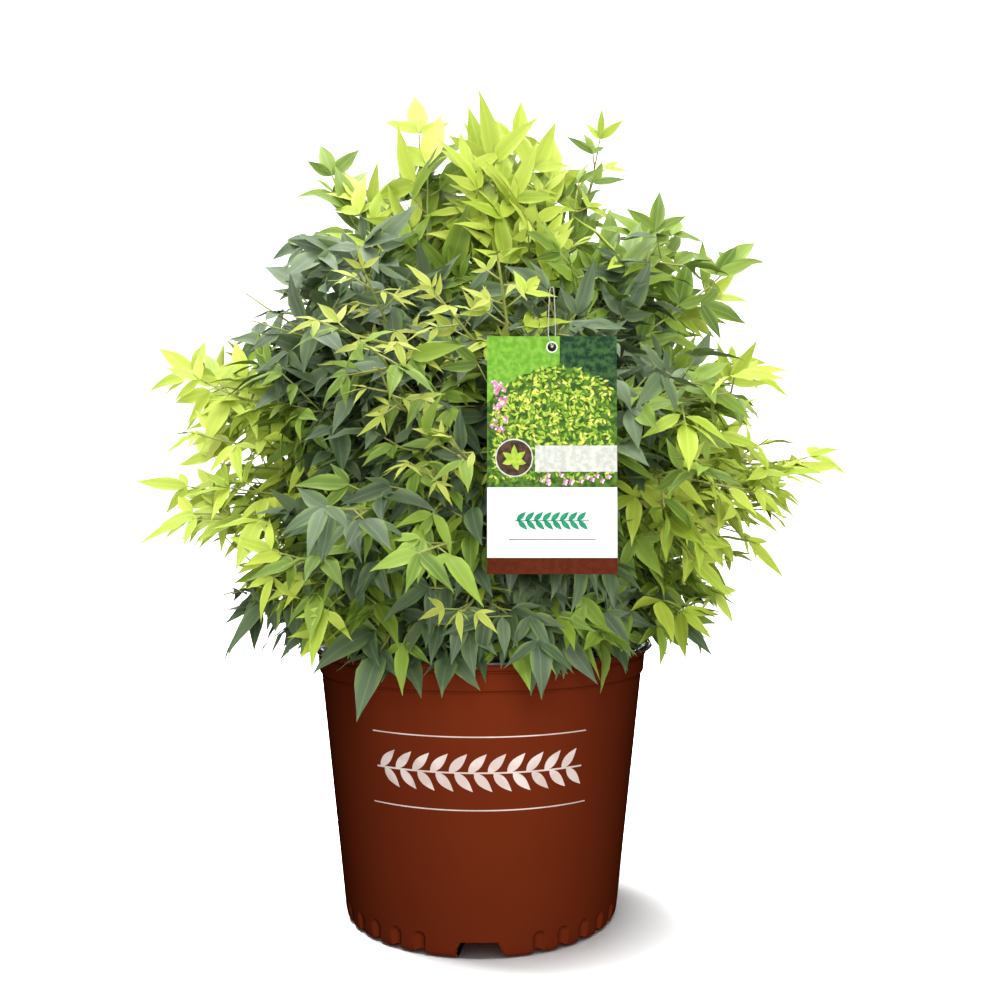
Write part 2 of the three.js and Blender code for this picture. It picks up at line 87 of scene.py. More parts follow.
def pieceOf(mesh, materials, replaced=()):
    piece = bpy.data.objects.new(mesh.name, mesh)
    bpy.context.scene.collection.objects.link(piece)
    for material in materials:
        mesh.materials.append(material)
    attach(piece, "root")
    nodes = [n for n in nodeNames if n.startswith(tuple(replaced))]
    if nodes:
        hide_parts(*nodes)
    return piece


def gridFaces(rows, columns, closed=False):
    # quads of a grid whose points run along the columns first
    i = np.arange(rows - 1)[:, None] * columns
    j = np.arange(columns if closed else columns - 1)[None, :]
    k = (j + 1) % columns
    return np.stack([i + j, i + k, i + columns + k, i + columns + j], -1).reshape(-1, 4)


def copiesOf(faces, count, pointsEach):
    # the same faces for each of many copies, which follow each other in one point array
    return (faces[None] + pointsEach * np.arange(count)[:, None, None]).reshape(-1, faces.shape[1])


def tubes(centres, radii, sides):
    # centres (n, stations, 3), radii (n, stations): a ring round the path at every station,
    # square to it, and a cap of one face at either end
    n, stations, _ = centres.shape
    ahead = unit(np.gradient(centres, axis=1))
    helper = np.where(np.abs(ahead[..., 2:]) > 0.9, [[[1.0, 0.0, 0.0]]], [[[0.0, 0.0, 1.0]]])
    across = unit(np.cross(ahead, helper))
    above = np.cross(ahead, across)
    angle = 2 * np.pi * np.arange(sides) / sides
    ring = across[:, :, None] * np.cos(angle)[:, None] + above[:, :, None] * np.sin(angle)[:, None]
    points = centres[:, :, None] + ring * radii[:, :, None, None]
    each = stations * sides
    wall = copiesOf(gridFaces(stations, sides, closed=True), n, each)
    cap = np.arange(sides)[None]
    ends = np.concatenate([copiesOf(cap[:, ::-1], n, each), copiesOf(cap + each - sides, n, each)])
    return points.reshape(-1, 3), [wall, ends]


def bezier(path, t):
    # path (..., 4, 3) and t (...): (1-t)^3 a + 3 (1-t)^2 t b + 3 (1-t) t^2 c + t^3 d
    s = 1 - t
    weights = np.stack([s ** 3, 3 * s * s * t, 3 * s * t * t, t ** 3], -1)
    return (weights[..., None] * path).sum(-2)


def headingOf(path, t):
    s = 1 - t
    weights = np.stack([-s * s, s * s - 2 * s * t, 2 * s * t - t * t, t * t], -1)
    return unit((weights[..., None] * path).sum(-2))


# materials

def newMaterial(name, roughness, specular=0.4):
    material = bpy.data.materials.new(name)
    material.use_nodes = True
    shader = material.node_tree.nodes["Principled BSDF"]
    shader.inputs["Roughness"].default_value = roughness
    shader.inputs["Specular IOR Level"].default_value = specular
    return material, material.node_tree, shader


def colourOf(r, g, b):
    # an sRGB colour from 0 to 255 as a linear one
    c = np.array([r, g, b]) / 255
    linear = np.where(c <= 0.04045, c / 12.92, ((c + 0.055) / 1.055) ** 2.4)
    return (*[float(v) for v in linear], 1.0)


def addNode(tree, kind, inputs=None, **settings):
    made = tree.nodes.new(kind)
    for key, value in settings.items():
        setattr(made, key, value)
    for key, value in (inputs or {}).items():
        if isinstance(value, bpy.types.NodeSocket):
            tree.links.new(value, made.inputs[key])
        else:
            made.inputs[key].default_value = value
    return made


def mathNode(tree, operation, a, b=0.0, clamp=False):
    return addNode(tree, "ShaderNodeMath", {0: a, 1: b}, operation=operation, use_clamp=clamp).outputs[0]


def mixColour(tree, factor, a, b):
    made = addNode(tree, "ShaderNodeMix", data_type="RGBA")
    for socket, value in ((made.inputs[0], factor), (made.inputs[6], a), (made.inputs[7], b)):
        if isinstance(value, bpy.types.NodeSocket):
            tree.links.new(value, socket)
        else:
            socket.default_value = value
    return made.outputs[2]


def mottleGroup():
    # slow and fine noise on Object coordinates, put out as masks for colour, roughness and relief
    group = bpy.data.node_groups.new("mottle", "ShaderNodeTree")
    for name, value in (("slowScale", 20.0), ("fineScale", 200.0), ("relief", 0.2), ("depth", 0.0002)):
        socket = group.interface.new_socket(name=name, in_out="INPUT", socket_type="NodeSocketFloat")
        socket.default_value = value
    for name in ("slow", "fine"):
        group.interface.new_socket(name=name, in_out="OUTPUT", socket_type="NodeSocketFloat")
    group.interface.new_socket(name="normal", in_out="OUTPUT", socket_type="NodeSocketVector")
    given = addNode(group, "NodeGroupInput").outputs
    place = addNode(group, "ShaderNodeTexCoord").outputs["Object"]
    slow = addNode(group, "ShaderNodeTexNoise", {"Vector": place, "Scale": given[0], "Detail": 3.0})
    fine = addNode(group, "ShaderNodeTexNoise", {"Vector": place, "Scale": given[1], "Detail": 5.0})
    bump = addNode(group, "ShaderNodeBump",
                   {"Strength": given[2], "Distance": given[3], "Height": fine.outputs[0]})
    out = addNode(group, "NodeGroupOutput")
    for index, socket in enumerate((slow.outputs[0], fine.outputs[0], bump.outputs[0])):
        group.links.new(socket, out.inputs[index])
    return group


mottle = mottleGroup()


def addMottle(tree, slowScale, fineScale, relief, depth):
    made = tree.nodes.new("ShaderNodeGroup")
    made.node_tree = mottle
    given = {"slowScale": slowScale, "fineScale": fineScale, "relief": relief, "depth": depth}
    for key, value in given.items():
        made.inputs[key].default_value = value
    return made.outputs


# the pot: one closed skin of revolution with arches and flutes let into its foot

potShape = {
    "rimRadius": 140.0, "height": 217.0, "footRadius": 111.0, "footRounding": 6.0,
    "shoulderRadius": 131.4, "shoulderHeight": 193.0, "bandHeight": 15.0, "wall": 2.2,
    "archCount": 3, "archFirst": -90.0, "archTop": 27.0, "archFoot": 39.0, "archHeight": 12.4,
    "archDepth": 46.0, "archCorner": 4.4, "archFlare": 1.1,
    "flutesPerBay": 8, "fluteFromArch": 23.0, "fluteRadius": 4.7, "fluteBite": 4.3, "fluteHeight": 17.5,
    "scallop": 3.6, "insideFrom": 150.0,
}


def rounded(profile, radius, steps=4):
    # each inner corner of a profile becomes a short curve that starts and ends near it
    profile = [np.array(p, float) for p in profile]
    out = [profile[0]]
    for before, corner, after in zip(profile, profile[1:], profile[2:]):
        reach = [min(radius, 0.45 * np.linalg.norm(other - corner)) for other in (before, after)]
        a = corner + unit(before - corner) * reach[0]
        b = corner + unit(after - corner) * reach[1]
        for t in np.linspace(0, 1, steps):
            out.append((1 - t) ** 2 * a + 2 * t * (1 - t) * corner + t * t * b)
    return np.array(out + [profile[-1]])


def between(a, b, steps):
    return np.linspace(a, b, steps)[1:]


def makePot(s):
    foot, arch = s["footRadius"], s["archHeight"]
    wallAt = lambda z: foot + (s["shoulderRadius"] - foot) * (z - s["footRounding"]) / (
        s["shoulderHeight"] - s["footRounding"])
    back = foot - s["archDepth"]
    # two sections with the same stations: the plain foot, and the foot where an arch is let in
    plainFoot = np.concatenate([
        [[0, 0]], between([0, 0], [back, 0], 5), between([back, 0], [foot - 5, 0], 9),
        rounded([[foot - 5, 0], [foot - 1.4, 1.2], [foot - 0.1, 5], [wallAt(arch), arch]], 3, 5)[1:]])
    archFoot = np.concatenate([
        [[0, 0]], between([0, 0], [back, 0], 5), between([back, 0], [back, arch], 9),
        between([back, arch], [wallAt(arch), arch], len(plainFoot) - 12)])
    top = s["shoulderHeight"] + s["bandHeight"]
    edge, shoulder = s["shoulderRadius"], s["shoulderHeight"]
    upper = np.concatenate([
        [[wallAt(z), z] for z in np.arange(arch + 0.4, s["fluteHeight"] + 4, 0.6)],
        [[wallAt(z), z] for z in np.linspace(s["fluteHeight"] + 5, shoulder - 3, 14)],
        rounded([[wallAt(shoulder - 2), shoulder - 2], [edge, shoulder - 0.2], [edge - 0.9, shoulder + 0.5],
                 [edge - 0.9, shoulder + 1.3], [edge + 1.4, shoulder + 2.2], [edge + 2.0, shoulder + 4],
                 [edge + 2.9, top - 0.6], [edge + 1.7, top + 0.2], [edge + 1.7, top + 1.0],
                 [edge + 4.0, top + 1.9], [edge + 4.6, s["height"] - 4.6], [edge + 5.4, s["height"] - 3.4],
                 [s["rimRadius"] - 0.7, s["height"] - 3.0], [s["rimRadius"], s["height"] - 2.2]], 0.8)])
    lining = np.concatenate([
        rounded([[s["rimRadius"], s["height"] - 1.7], [s["rimRadius"] - 0.1, s["height"] - 0.5],
                 [s["rimRadius"] - 1.2, s["height"]], [edge + 3.6, s["height"] - 0.3],
                 [edge + 1.6, s["height"] - 2.5], [edge + 0.2, top], [edge - 0.8, shoulder + 2],
                 [edge - s["wall"], shoulder - 2]], 1.2),
        [[wallAt(z) - s["wall"], z] for z in np.linspace(shoulder - 6, s["insideFrom"], 5)],
        between([wallAt(s["insideFrom"]) - s["wall"], s["insideFrom"]], [0, s["insideFrom"]], 5)])
    plain = np.concatenate([plainFoot, upper, lining])
    arched = np.concatenate([archFoot, upper, lining])

    # columns: evenly spread, with extra ones in the flutes and on either side of every arch edge
    bay = 360 / s["archCount"]
    step = (bay - 2 * s["fluteFromArch"]) / (s["flutesPerBay"] - 1)
    flutes = s["fluteFromArch"] + step * np.arange(s["flutesPerBay"])
    halfAngle = math.degrees(s["fluteRadius"] / foot)
    inFlute = np.linspace(-1.08, 1.08, 17) * halfAngle
    halfTop = math.degrees(s["archTop"] / 2 / foot)
    archColumns = np.concatenate([[-halfTop, -halfTop + 0.2], np.linspace(-halfTop + 0.7, halfTop - 0.7, 13),
                                  [halfTop - 0.2, halfTop]])
    spare = np.arange(halfTop + 1.2, bay - halfTop - 1, 1.25)
    spare = spare[np.abs(spare[:, None] - flutes).min(1) > halfAngle * 1.3]
    oneBay = np.sort(np.concatenate([archColumns, spare, (flutes[:, None] + inFlute).ravel()]))
    turn = (oneBay[None] + s["archFirst"] + bay * np.arange(s["archCount"])[:, None]).ravel()
    local = np.tile(oneBay, s["archCount"])
    isArch = np.abs(local) < halfTop - 0.1
    section = np.where(isArch[None, :, None], arched[:, None], plain[:, None])
    radius, height = section[..., 0].copy(), section[..., 1].copy()

    # an arch is wider at its foot: columns near it are pushed outwards below the arch's top
    halfFoot = math.degrees(s["archFoot"] / 2 / foot)
    low = np.clip(1 - height / arch, 0, 1) * (radius > back - 1)
    fade = np.clip(1 - (np.abs(local) - halfTop) / 12, 0, 1)
    inside = np.clip(np.abs(local) / halfTop, 0, 1)
    corner = 1 + s["archFlare"] * np.clip(1 - height / s["archCorner"], 0, 1) ** 2
    push = np.sign(local) * np.where(np.abs(local) <= halfTop, inside, fade) * (halfFoot - halfTop)
    angle = np.radians(turn[None] + push[None] * low * corner)

    # a flute is a round-ended cylinder that bites into the wall
    offset = np.abs(local[:, None] - flutes).min(1)
    d = np.radians(offset)[None] * radius
    tip = s["fluteHeight"] - s["fluteRadius"]
    size = s["fluteRadius"] ** 2 - np.clip(height - tip, 0, None) ** 2
    cut = size - d ** 2
    middle = wallAt(s["fluteHeight"]) + s["fluteRadius"] - s["fluteBite"]
    limit = np.where(cut > 0, middle - np.sqrt(np.maximum(cut, 0)), 1e3)
    stations = np.arange(len(plain))[:, None]
    outer = stations < len(plain) - len(lining)
    radius = np.where(outer, np.minimum(radius, limit), radius)
    # and lifts the foot's edge a little, so that the edge is scalloped
    share = np.clip(1 - (d / (1.15 * s["fluteRadius"])) ** 2, 0, 1)
    edgeOnly = np.clip((radius - (foot - 12)) / 6, 0, 1) * outer * (height < s["scallop"])
    height = np.maximum(height, s["scallop"] * np.sqrt(share) * edgeOnly)

    points = np.stack([radius * np.cos(angle), radius * np.sin(angle), height], -1)
    rows, columns = radius.shape
    faces = gridFaces(rows, columns, closed=True)
    band = np.repeat(np.arange(rows - 1), columns)
    flat = points.reshape(-1, 3)
    # the first and last rings are single points
    first, last = len(flat), len(flat) + 1
    flat = np.concatenate([flat, [[0, 0, 0], [0, 0, s["insideFrom"]]]])
    keep = (band > 0) & (band < rows - 2)
    ring = np.arange(columns)
    ahead = (ring + 1) % columns
    below = np.stack([np.full(columns, first), columns + ahead, columns + ring], -1)
    above = np.stack([(rows - 2) * columns + ring, (rows - 2) * columns + ahead, np.full(columns, last)], -1)
    liningFrom = rows - len(lining) - 1
    inLining = (band[keep] >= liningFrom).astype(int)
    index = np.concatenate([inLining, np.zeros(columns, int), np.ones(columns, int)])
    used = np.unique(np.concatenate([faces[keep].ravel(), below.ravel(), above.ravel()]))
    renumber = np.zeros(len(flat), int)
    renumber[used] = np.arange(len(used))
    mesh = meshOf("potShell", flat[used], [renumber[faces[keep]], renumber[below], renumber[above]])
    mesh.polygons.foreach_set("material_index", index.astype(np.int32))
    return mesh


def plasticMaterial(name, dark, light, specular, smoothest, varies):
    # roughness = smoothest + varies x fine noise
    material, tree, shader = newMaterial(name, smoothest, specular)
    slow, fine, normal = addMottle(tree, 9.0, 1400.0, 0.10, 0.00006)
    tree.links.new(mixColour(tree, slow, dark, light), shader.inputs["Base Color"])
    roughness = mathNode(tree, "ADD", mathNode(tree, "MULTIPLY", fine, varies), smoothest)
    tree.links.new(roughness, shader.inputs["Roughness"])
    tree.links.new(normal, shader.inputs["Normal"])
    return material


rustPlastic = plasticMaterial("rustPlastic", colourOf(66, 22, 9), colourOf(78, 28, 10), 0.0, 0.44, 0.12)
blackPlastic = plasticMaterial("blackPlastic", colourOf(12, 9, 10), colourOf(24, 18, 20), 0.2, 0.34, 0.2)
potPiece = pieceOf(makePot(potShape), [rustPlastic, blackPlastic], ["pot"])
print("pot made:", len(potPiece.data.polygons), "faces")


# prints: thin closed strips that lie on a surface

def facingOut(points, faces):
    # turns a closed strip's quads round if the volume they enclose comes out negative
    a, b, c, d = (points[faces[:, k]] for k in range(4))
    volume = (a * np.cross(b, c) + a * np.cross(c, d)).sum()
    return faces if volume > 0 else faces[:, ::-1]


def printStrip(low, high, place, depths):
    # between two edges (n, 2), from the first depth to the second over the surface
    corners = ((low, depths[1]), (high, depths[1]), (high, depths[0]), (low, depths[0]))
    ring = np.stack([place(edge, depth) for edge, depth in corners], 1)
    points = ring.reshape(-1, 3)
    cap = np.arange(4)[None]
    faces = np.concatenate([gridFaces(len(low), 4, closed=True), cap[:, ::-1], cap + len(points) - 4])
    return points, facingOut(points - points.mean(0), faces)


def leafEdges(foot, angle, length, width, steps=9):
    # a pointed oval: half width = width / 2 x sin(pi x share^0.8)
    share = np.linspace(0.0, 1.0, steps)
    half = width / 2 * np.sin(np.pi * share ** 0.8) + 0.02
    ahead = np.array([math.cos(math.radians(angle)), math.sin(math.radians(angle))])
    aside = np.array([-ahead[1], ahead[0]])
    middle = np.array(foot) + ahead * (share * length)[:, None]
    return middle - aside * half[:, None], middle + aside * half[:, None]


def barEdges(x0, x1, low, high, steps=40):
    x = np.linspace(x0, x1, steps)
    return np.stack([x, np.full(steps, low)], -1), np.stack([x, np.full(steps, high)], -1)


def printMesh(name, strips, place):
    # strips hold their two edges, depths and material number
    points, faces, numbers, offset = [], [], [], 0
    for low, high, depths, number in strips:
        some, quads = printStrip(low, high, place, depths)
        points.append(some)
        faces.append(quads + offset)
        numbers.append(np.full(len(quads), number))
        offset += len(some)
    mesh = meshOf(name, np.concatenate(points), [np.concatenate(faces)])
    mesh.polygons.foreach_set("material_index", np.concatenate(numbers).astype(np.int32))
    mesh.polygons.foreach_set("use_smooth", np.zeros(len(mesh.polygons), bool))
    return mesh


def inkMaterial(name, dark, light, scale):
    # two colours that a fine noise deals out in specks
    material, tree, shader = newMaterial(name, 0.45, 0.06)
    slow, fine, normal = addMottle(tree, scale, 1500.0, 0.06, 0.00004)
    share = mathNode(tree, "MULTIPLY", mathNode(tree, "SUBTRACT", slow, 0.42), 6.0, clamp=True)
    tree.links.new(mixColour(tree, share, dark, light), shader.inputs["Base Color"])
    tree.links.new(normal, shader.inputs["Normal"])
    return material


# a leafy border between two lines, printed round the front of the pot
borderShape = {
    "halfLength": 84.0, "middle": 136.0, "lineHeights": (109.0, 162.0), "lineWidth": 0.9, "stemWidth": 1.2,
    "pairs": 11, "leaf": (19.0, 7.0), "leafAngle": 46.0, "stagger": 4.0, "depths": (-0.3, 0.12),
}


def onPot(p, depth):
    # arc length from the front and height, on the pot's tapering wall
    s = potShape
    rise = (p[:, 1] - s["footRounding"]) / (s["shoulderHeight"] - s["footRounding"])
    radius = s["footRadius"] + (s["shoulderRadius"] - s["footRadius"]) * rise + depth
    angle = math.radians(s["archFirst"]) + p[:, 0] / radius
    return np.stack([radius * np.cos(angle), radius * np.sin(angle), p[:, 1]], -1)


def borderStrips(s):
    strips = []
    for height in s["lineHeights"]:
        line = barEdges(-s["halfLength"], s["halfLength"], height, height + s["lineWidth"])
        strips.append((*line, s["depths"], 0))
    reach = s["halfLength"] - 4
    strips.append((*barEdges(-reach, reach, s["middle"], s["middle"] + s["stemWidth"]), s["depths"], 0))
    for x in np.linspace(-reach + 3, reach - 18, s["pairs"]):
        for hand in (1, -1):
            foot = (x + s["stagger"] * (hand < 0), s["middle"] + s["stemWidth"] / 2)
            strips.append((*leafEdges(foot, hand * s["leafAngle"], *s["leaf"]), s["depths"], 0))
    return strips


paleInk = inkMaterial("paleInk", colourOf(150, 136, 130), colourOf(164, 152, 146), 60.0)
border = pieceOf(printMesh("potBorder", borderStrips(borderShape), onPot), [paleInk])
print("border printed")


# potting mix with bark chips lying on it

soilShape = {
    "height": 195.0, "edgeRadius": 128.4, "skirtRadius": 126.0, "skirtDepth": 14.0, "rings": 40,
    "columns": 96, "roughness": 2.6, "chips": 620, "chipLength": (5.0, 15.0), "seed": 11,
}


def makeSoil(s):
    # a low mound whose height is raised and sunk by a few sums of waves, closed underneath
    rng = np.random.default_rng(s["seed"])
    share = np.linspace(0, 1, s["rings"])[1:, None]
    angle = 2 * np.pi * np.arange(s["columns"])[None] / s["columns"]
    x = share * s["edgeRadius"] * np.cos(angle)
    y = share * s["edgeRadius"] * np.sin(angle)
    waves = sum(np.sin(x * k * math.cos(a) + y * k * math.sin(a) + p) for k, a, p in
                zip(rng.uniform(0.05, 0.4, 14), rng.uniform(0, 6.3, 14), rng.uniform(0, 6.3, 14)))
    z = s["height"] + s["roughness"] * waves / 6 + 2.4 * (1 - share ** 2)
    mound = np.stack([x, y, z], -1).reshape(-1, 3)
    drawn = s["skirtRadius"] / s["edgeRadius"]
    foot = s["height"] - s["skirtDepth"]
    skirt = np.stack([x[-1] * drawn, y[-1] * drawn, np.full(s["columns"], foot)], -1)
    points = np.concatenate([mound, skirt, [[0, 0, s["height"] + 2.4], [0, 0, foot]]])
    rings = s["rings"]
    faces = gridFaces(rings, s["columns"], closed=True)[:, ::-1]
    ring = np.arange(s["columns"])
    ahead = (ring + 1) % s["columns"]
    top, low = len(points) - 2, len(points) - 1
    lastRing = (rings - 1) * s["columns"]
    crown = np.stack([ring, ahead, np.full(len(ring), top)], -1)
    under = np.stack([lastRing + ahead, lastRing + ring, np.full(len(ring), low)], -1)
    return meshOf("soilMound", points, [faces, crown, under])


def makeChips(s):
    # each chip is a box whose eight corners are pulled about, lying nearly flat
    rng = np.random.default_rng(s["seed"] + 1)
    n = s["chips"]
    length = rng.uniform(*s["chipLength"], n)
    size = np.stack([length, length * rng.uniform(0.3, 0.75, n), length * rng.uniform(0.12, 0.3, n)], -1)
    corners = np.array([[i, j, k] for k in (-1, 1) for j in (-1, 1) for i in (-1, 1)], float) / 2
    local = corners[None] * size[:, None] * rng.uniform(0.6, 1.1, (n, 8, 3))
    spin, lean = rng.uniform(0, 360, n), rng.normal(0, 16, n)
    axis = np.tile(up, (n, 1))
    tilt = np.tile([1.0, 0.0, 0.0], (n, 1))
    local = turned(local, tilt[:, None], np.repeat(lean[:, None], 8, 1))
    local = turned(local, axis[:, None], np.repeat(spin[:, None], 8, 1))
    radius = (s["edgeRadius"] - 8) * np.sqrt(rng.uniform(0, 1, n))
    angle = rng.uniform(0, 2 * np.pi, n)
    place = np.stack([radius * np.cos(angle), radius * np.sin(angle),
                      s["height"] + 2.6 + rng.uniform(-1, 1.5, n)], -1)
    box = np.array([[0, 2, 3, 1], [4, 5, 7, 6], [0, 1, 5, 4], [2, 6, 7, 3], [0, 4, 6, 2], [1, 3, 7, 5]])
    points = (local + place[:, None]).reshape(-1, 3)
    mesh = meshOf("barkChips", points, [copiesOf(box, n, 8)], tint=np.repeat(rng.uniform(0, 1, n), 8))
    mesh.polygons.foreach_set("use_smooth", np.zeros(len(mesh.polygons), bool))
    return mesh


def soilMaterial(name, dark, light, chips=False):
    material, tree, shader = newMaterial(name, 0.85, 0.25)
    slow, fine, normal = addMottle(tree, 90.0, 600.0, 0.8, 0.0012)
    share = mathNode(tree, "MULTIPLY", slow, fine)
    if chips:
        tint = addNode(tree, "ShaderNodeAttribute", attribute_name="tint").outputs["Fac"]
        share = mathNode(tree, "ADD", share, tint)
    tree.links.new(mixColour(tree, share, dark, light), shader.inputs["Base Color"])
    tree.links.new(normal, shader.inputs["Normal"])
    return material


pottingMix = soilMaterial("pottingMix", colourOf(24, 17, 12), colourOf(66, 48, 34))
barkChip = soilMaterial("barkChip", colourOf(38, 26, 18), colourOf(116, 84, 58), chips=True)
pieceOf(makeSoil(soilShape), [pottingMix], ["soil"])
pieceOf(makeChips(soilShape), [barkChip], ["soil"])
print("potting mix made")


# the plant's rule: rings of shoots, each a cubic curve from its foot to the end of its leaf

rings = {
    "spire": {"count": 2, "first": 12, "foot": 9, "reach": 30, "height": 614},
    "top": {"count": 4, "first": 35, "foot": 20, "reach": 92, "height": 596},
    "upper": {"count": 7, "first": -76, "foot": 42, "reach": 172, "height": 516},
    "middle": {"count": 7, "first": -50, "attach": 300, "reach": 264, "height": 412},
    "skirt": {"count": 7, "first": -102, "attach": 272, "reach": 206, "height": 318},
    "low": {"count": 7, "first": -76, "attach": 240, "reach": 160, "height": 246},
}
habits = {
    "spire": {"rise": 150, "arching": -90, "wood": 0.6, "nod": -0.2},
    "top": {"rise": 150, "arching": -42, "wood": 0.58, "nod": 0.0},
    "upper": {"rise": 140, "arching": -10, "wood": 0.5, "nod": 0.5},
    "middle": {"rise": 60, "arching": 12, "wood": 0.3, "nod": 0.6},
    "skirt": {"rise": 40, "arching": 20, "wood": 0.0, "nod": 0.8},
    "low": {"rise": 36, "arching": 24, "wood": 0.0, "nod": 0.7},
}
plantRule = {
    "caneFoot": 198.3, "pathTurn": 0.34,
    "leanTowards": 178, "leanRaise": 38, "leanPush": -8,
    "reachVaries": 0.1, "heightVaries": 20, "azimuthVaries": 12,
    "tagged": {"shoot": "upper_1", "reach": 240, "height": 484},
}


def seeded(seed):
    # the same seed always gives the same run of numbers from 0 to 1
    state = seed

    def draw():
        nonlocal state
        state = (state + 0x6D2B79F5) & 0xFFFFFFFF
        t = ((state ^ (state >> 15)) * (state | 1)) & 0xFFFFFFFF
        t ^= (t + (((t ^ (t >> 7)) * (t | 61)) & 0xFFFFFFFF)) & 0xFFFFFFFF
        return ((t ^ (t >> 14)) & 0xFFFFFFFF) / 4294967296

    return draw


def around(azimuth, radius, height):
    angle = math.radians(azimuth)
    return np.array([radius * math.cos(angle), radius * math.sin(angle), height])


def shootPath(start, end, habit):
    # leaves its foot steeply, comes in level over the last third of its reach
    inwards = (start - end) * [1, 1, 0] * plantRule["pathTurn"]
    return np.array([start, start + up * habit["rise"], end + inwards + up * habit["arching"], end])


def pointAtHeight(path, height):
    share = np.linspace(0, 1, 400)
    heights = bezier(path[None], share)[:, 2]
    return bezier(path, np.float64(share[np.argmax(heights >= height)]))


def layOut():
    rule = plantRule
    shoots = []
    hosts = []
    for ringNumber, (tier, ring) in enumerate(rings.items()):
        made = []
        for index in range(ring["count"]):
            name = f"{tier}_{index + 1}"
            draw = seeded(1000 * ringNumber + 17 * index + 5)
            hosted = "attach" in ring
            azimuth = ring["first"] + 360 / ring["count"] * index
            azimuth += rule["azimuthVaries"] * (draw() - 0.5) if hosted else 0
            turn = math.cos(math.radians(azimuth - rule["leanTowards"])) if tier == "middle" else 0
            end = rule["tagged"] if name == rule["tagged"]["shoot"] else ring
            reach = (end["reach"] + rule["leanPush"] * turn) * (1 + rule["reachVaries"] * (draw() - 0.5))
            height = end["height"] + rule["leanRaise"] * turn + rule["heightVaries"] * (draw() - 0.5)
            start = pointAtHeight(hosts[index], ring["attach"]) if hosted else around(
                azimuth, ring["foot"], rule["caneFoot"])
            path = shootPath(start, around(azimuth, reach, height), habits[tier])
            made.append({"name": name, "tier": tier, "azimuth": azimuth, "reach": reach, "height": height,
                         "path": path, "hosted": hosted, "wood": habits[tier]["wood"]})
        if tier == "upper":
            hosts = [shoot["path"] for shoot in made]
        shoots += made
    return shoots


shoots = layOut()
print("shoots laid out:", len(shoots))


# canes and boughs with furrowed bark and the rings that old leaf bases leave

barkShape = {
    "caneRadius": (4.6, 2.2), "boughRadius": (2.8, 2.0), "flare": 0.45, "flareFade": 14,
    "sides": 16, "stations": 90, "ringEvery": 26.0, "ringHeight": 0.16, "furrows": 0.07, "seed": 3,
}


def makeWood(name, kept, radiusRange, flare, s):
    # radius = taper x (1 + flare e^(-fade t)) x (1 + furrows + a swelling at every leaf base)
    rng = np.random.default_rng(s["seed"])
    points, faces, offset = [], [], 0
    for shoot in kept:
        share = np.linspace(0, 1, s["stations"])
        centres = bezier(shoot["path"][None], share * shoot["wood"])
        length = np.concatenate([[0], np.cumsum(np.linalg.norm(np.diff(centres, axis=0), axis=1))])
        radius = radiusRange[0] + (radiusRange[1] - radiusRange[0]) * share
        radius = radius * (1 + flare * np.exp(-s["flareFade"] * share))
        phase = (length / s["ringEvery"] + rng.uniform()) % 1
        swell = s["ringHeight"] * np.exp(-((phase - 0.5) / 0.09) ** 2)
        shell, wall = tubes(centres[None], radius[None] * (1 + swell), s["sides"])
        ring = shell.reshape(s["stations"], s["sides"], 3)
        angle = 2 * np.pi * np.arange(s["sides"]) / s["sides"]
        wander = np.sin(length / 17 + rng.uniform(0, 6))[:, None]
        furrow = np.cos(5 * angle[None] + wander) + 0.6 * np.cos(3 * angle[None] - length[:, None] / 9)
        ring = centres[:, None] + (ring - centres[:, None]) * (1 + s["furrows"] * furrow[..., None])
        points.append(ring.reshape(-1, 3))
        faces.append([f + offset for f in wall])
        offset += len(shell)
    walls = [np.concatenate([f[0] for f in faces]), np.concatenate([f[1] for f in faces])]
    return meshOf(name, np.concatenate(points), walls)


def barkMaterial(name, dark, light, moss):
    material, tree, shader = newMaterial(name, 0.7, 0.3)
    slow, fine, normal = addMottle(tree, 60.0, 420.0, 0.6, 0.0006)
    share = mathNode(tree, "MULTIPLY", fine, 1.3, clamp=True)
    base = mixColour(tree, slow, mixColour(tree, share, dark, light), moss)
    tree.links.new(base, shader.inputs["Base Color"])
    tree.links.new(normal, shader.inputs["Normal"])
    return material


canes = [s for s in shoots if s["wood"] and not s["hosted"]]
boughs = [s for s in shoots if s["wood"] and s["hosted"]]
caneBark = barkMaterial("caneBark", colourOf(74, 58, 36), colourOf(142, 122, 84), colourOf(118, 116, 66))
boughBark = barkMaterial("boughBark", colourOf(104, 104, 52), colourOf(158, 158, 92), colourOf(132, 146, 66))
pieceOf(makeWood("canes", canes, barkShape["caneRadius"], barkShape["flare"], barkShape),
        [caneBark], ["cane_"])
pieceOf(makeWood("boughs", boughs, barkShape["boughRadius"], 0, barkShape),
        [boughBark], ["bough_"])
print("canes and boughs made:", len(canes), len(boughs))


# compound leaves: every shoot ends in one, and sister leaves spring from the same canes between
# them. A leaf has pairs of side stalks, each with leaflets in threes at its end and along it.

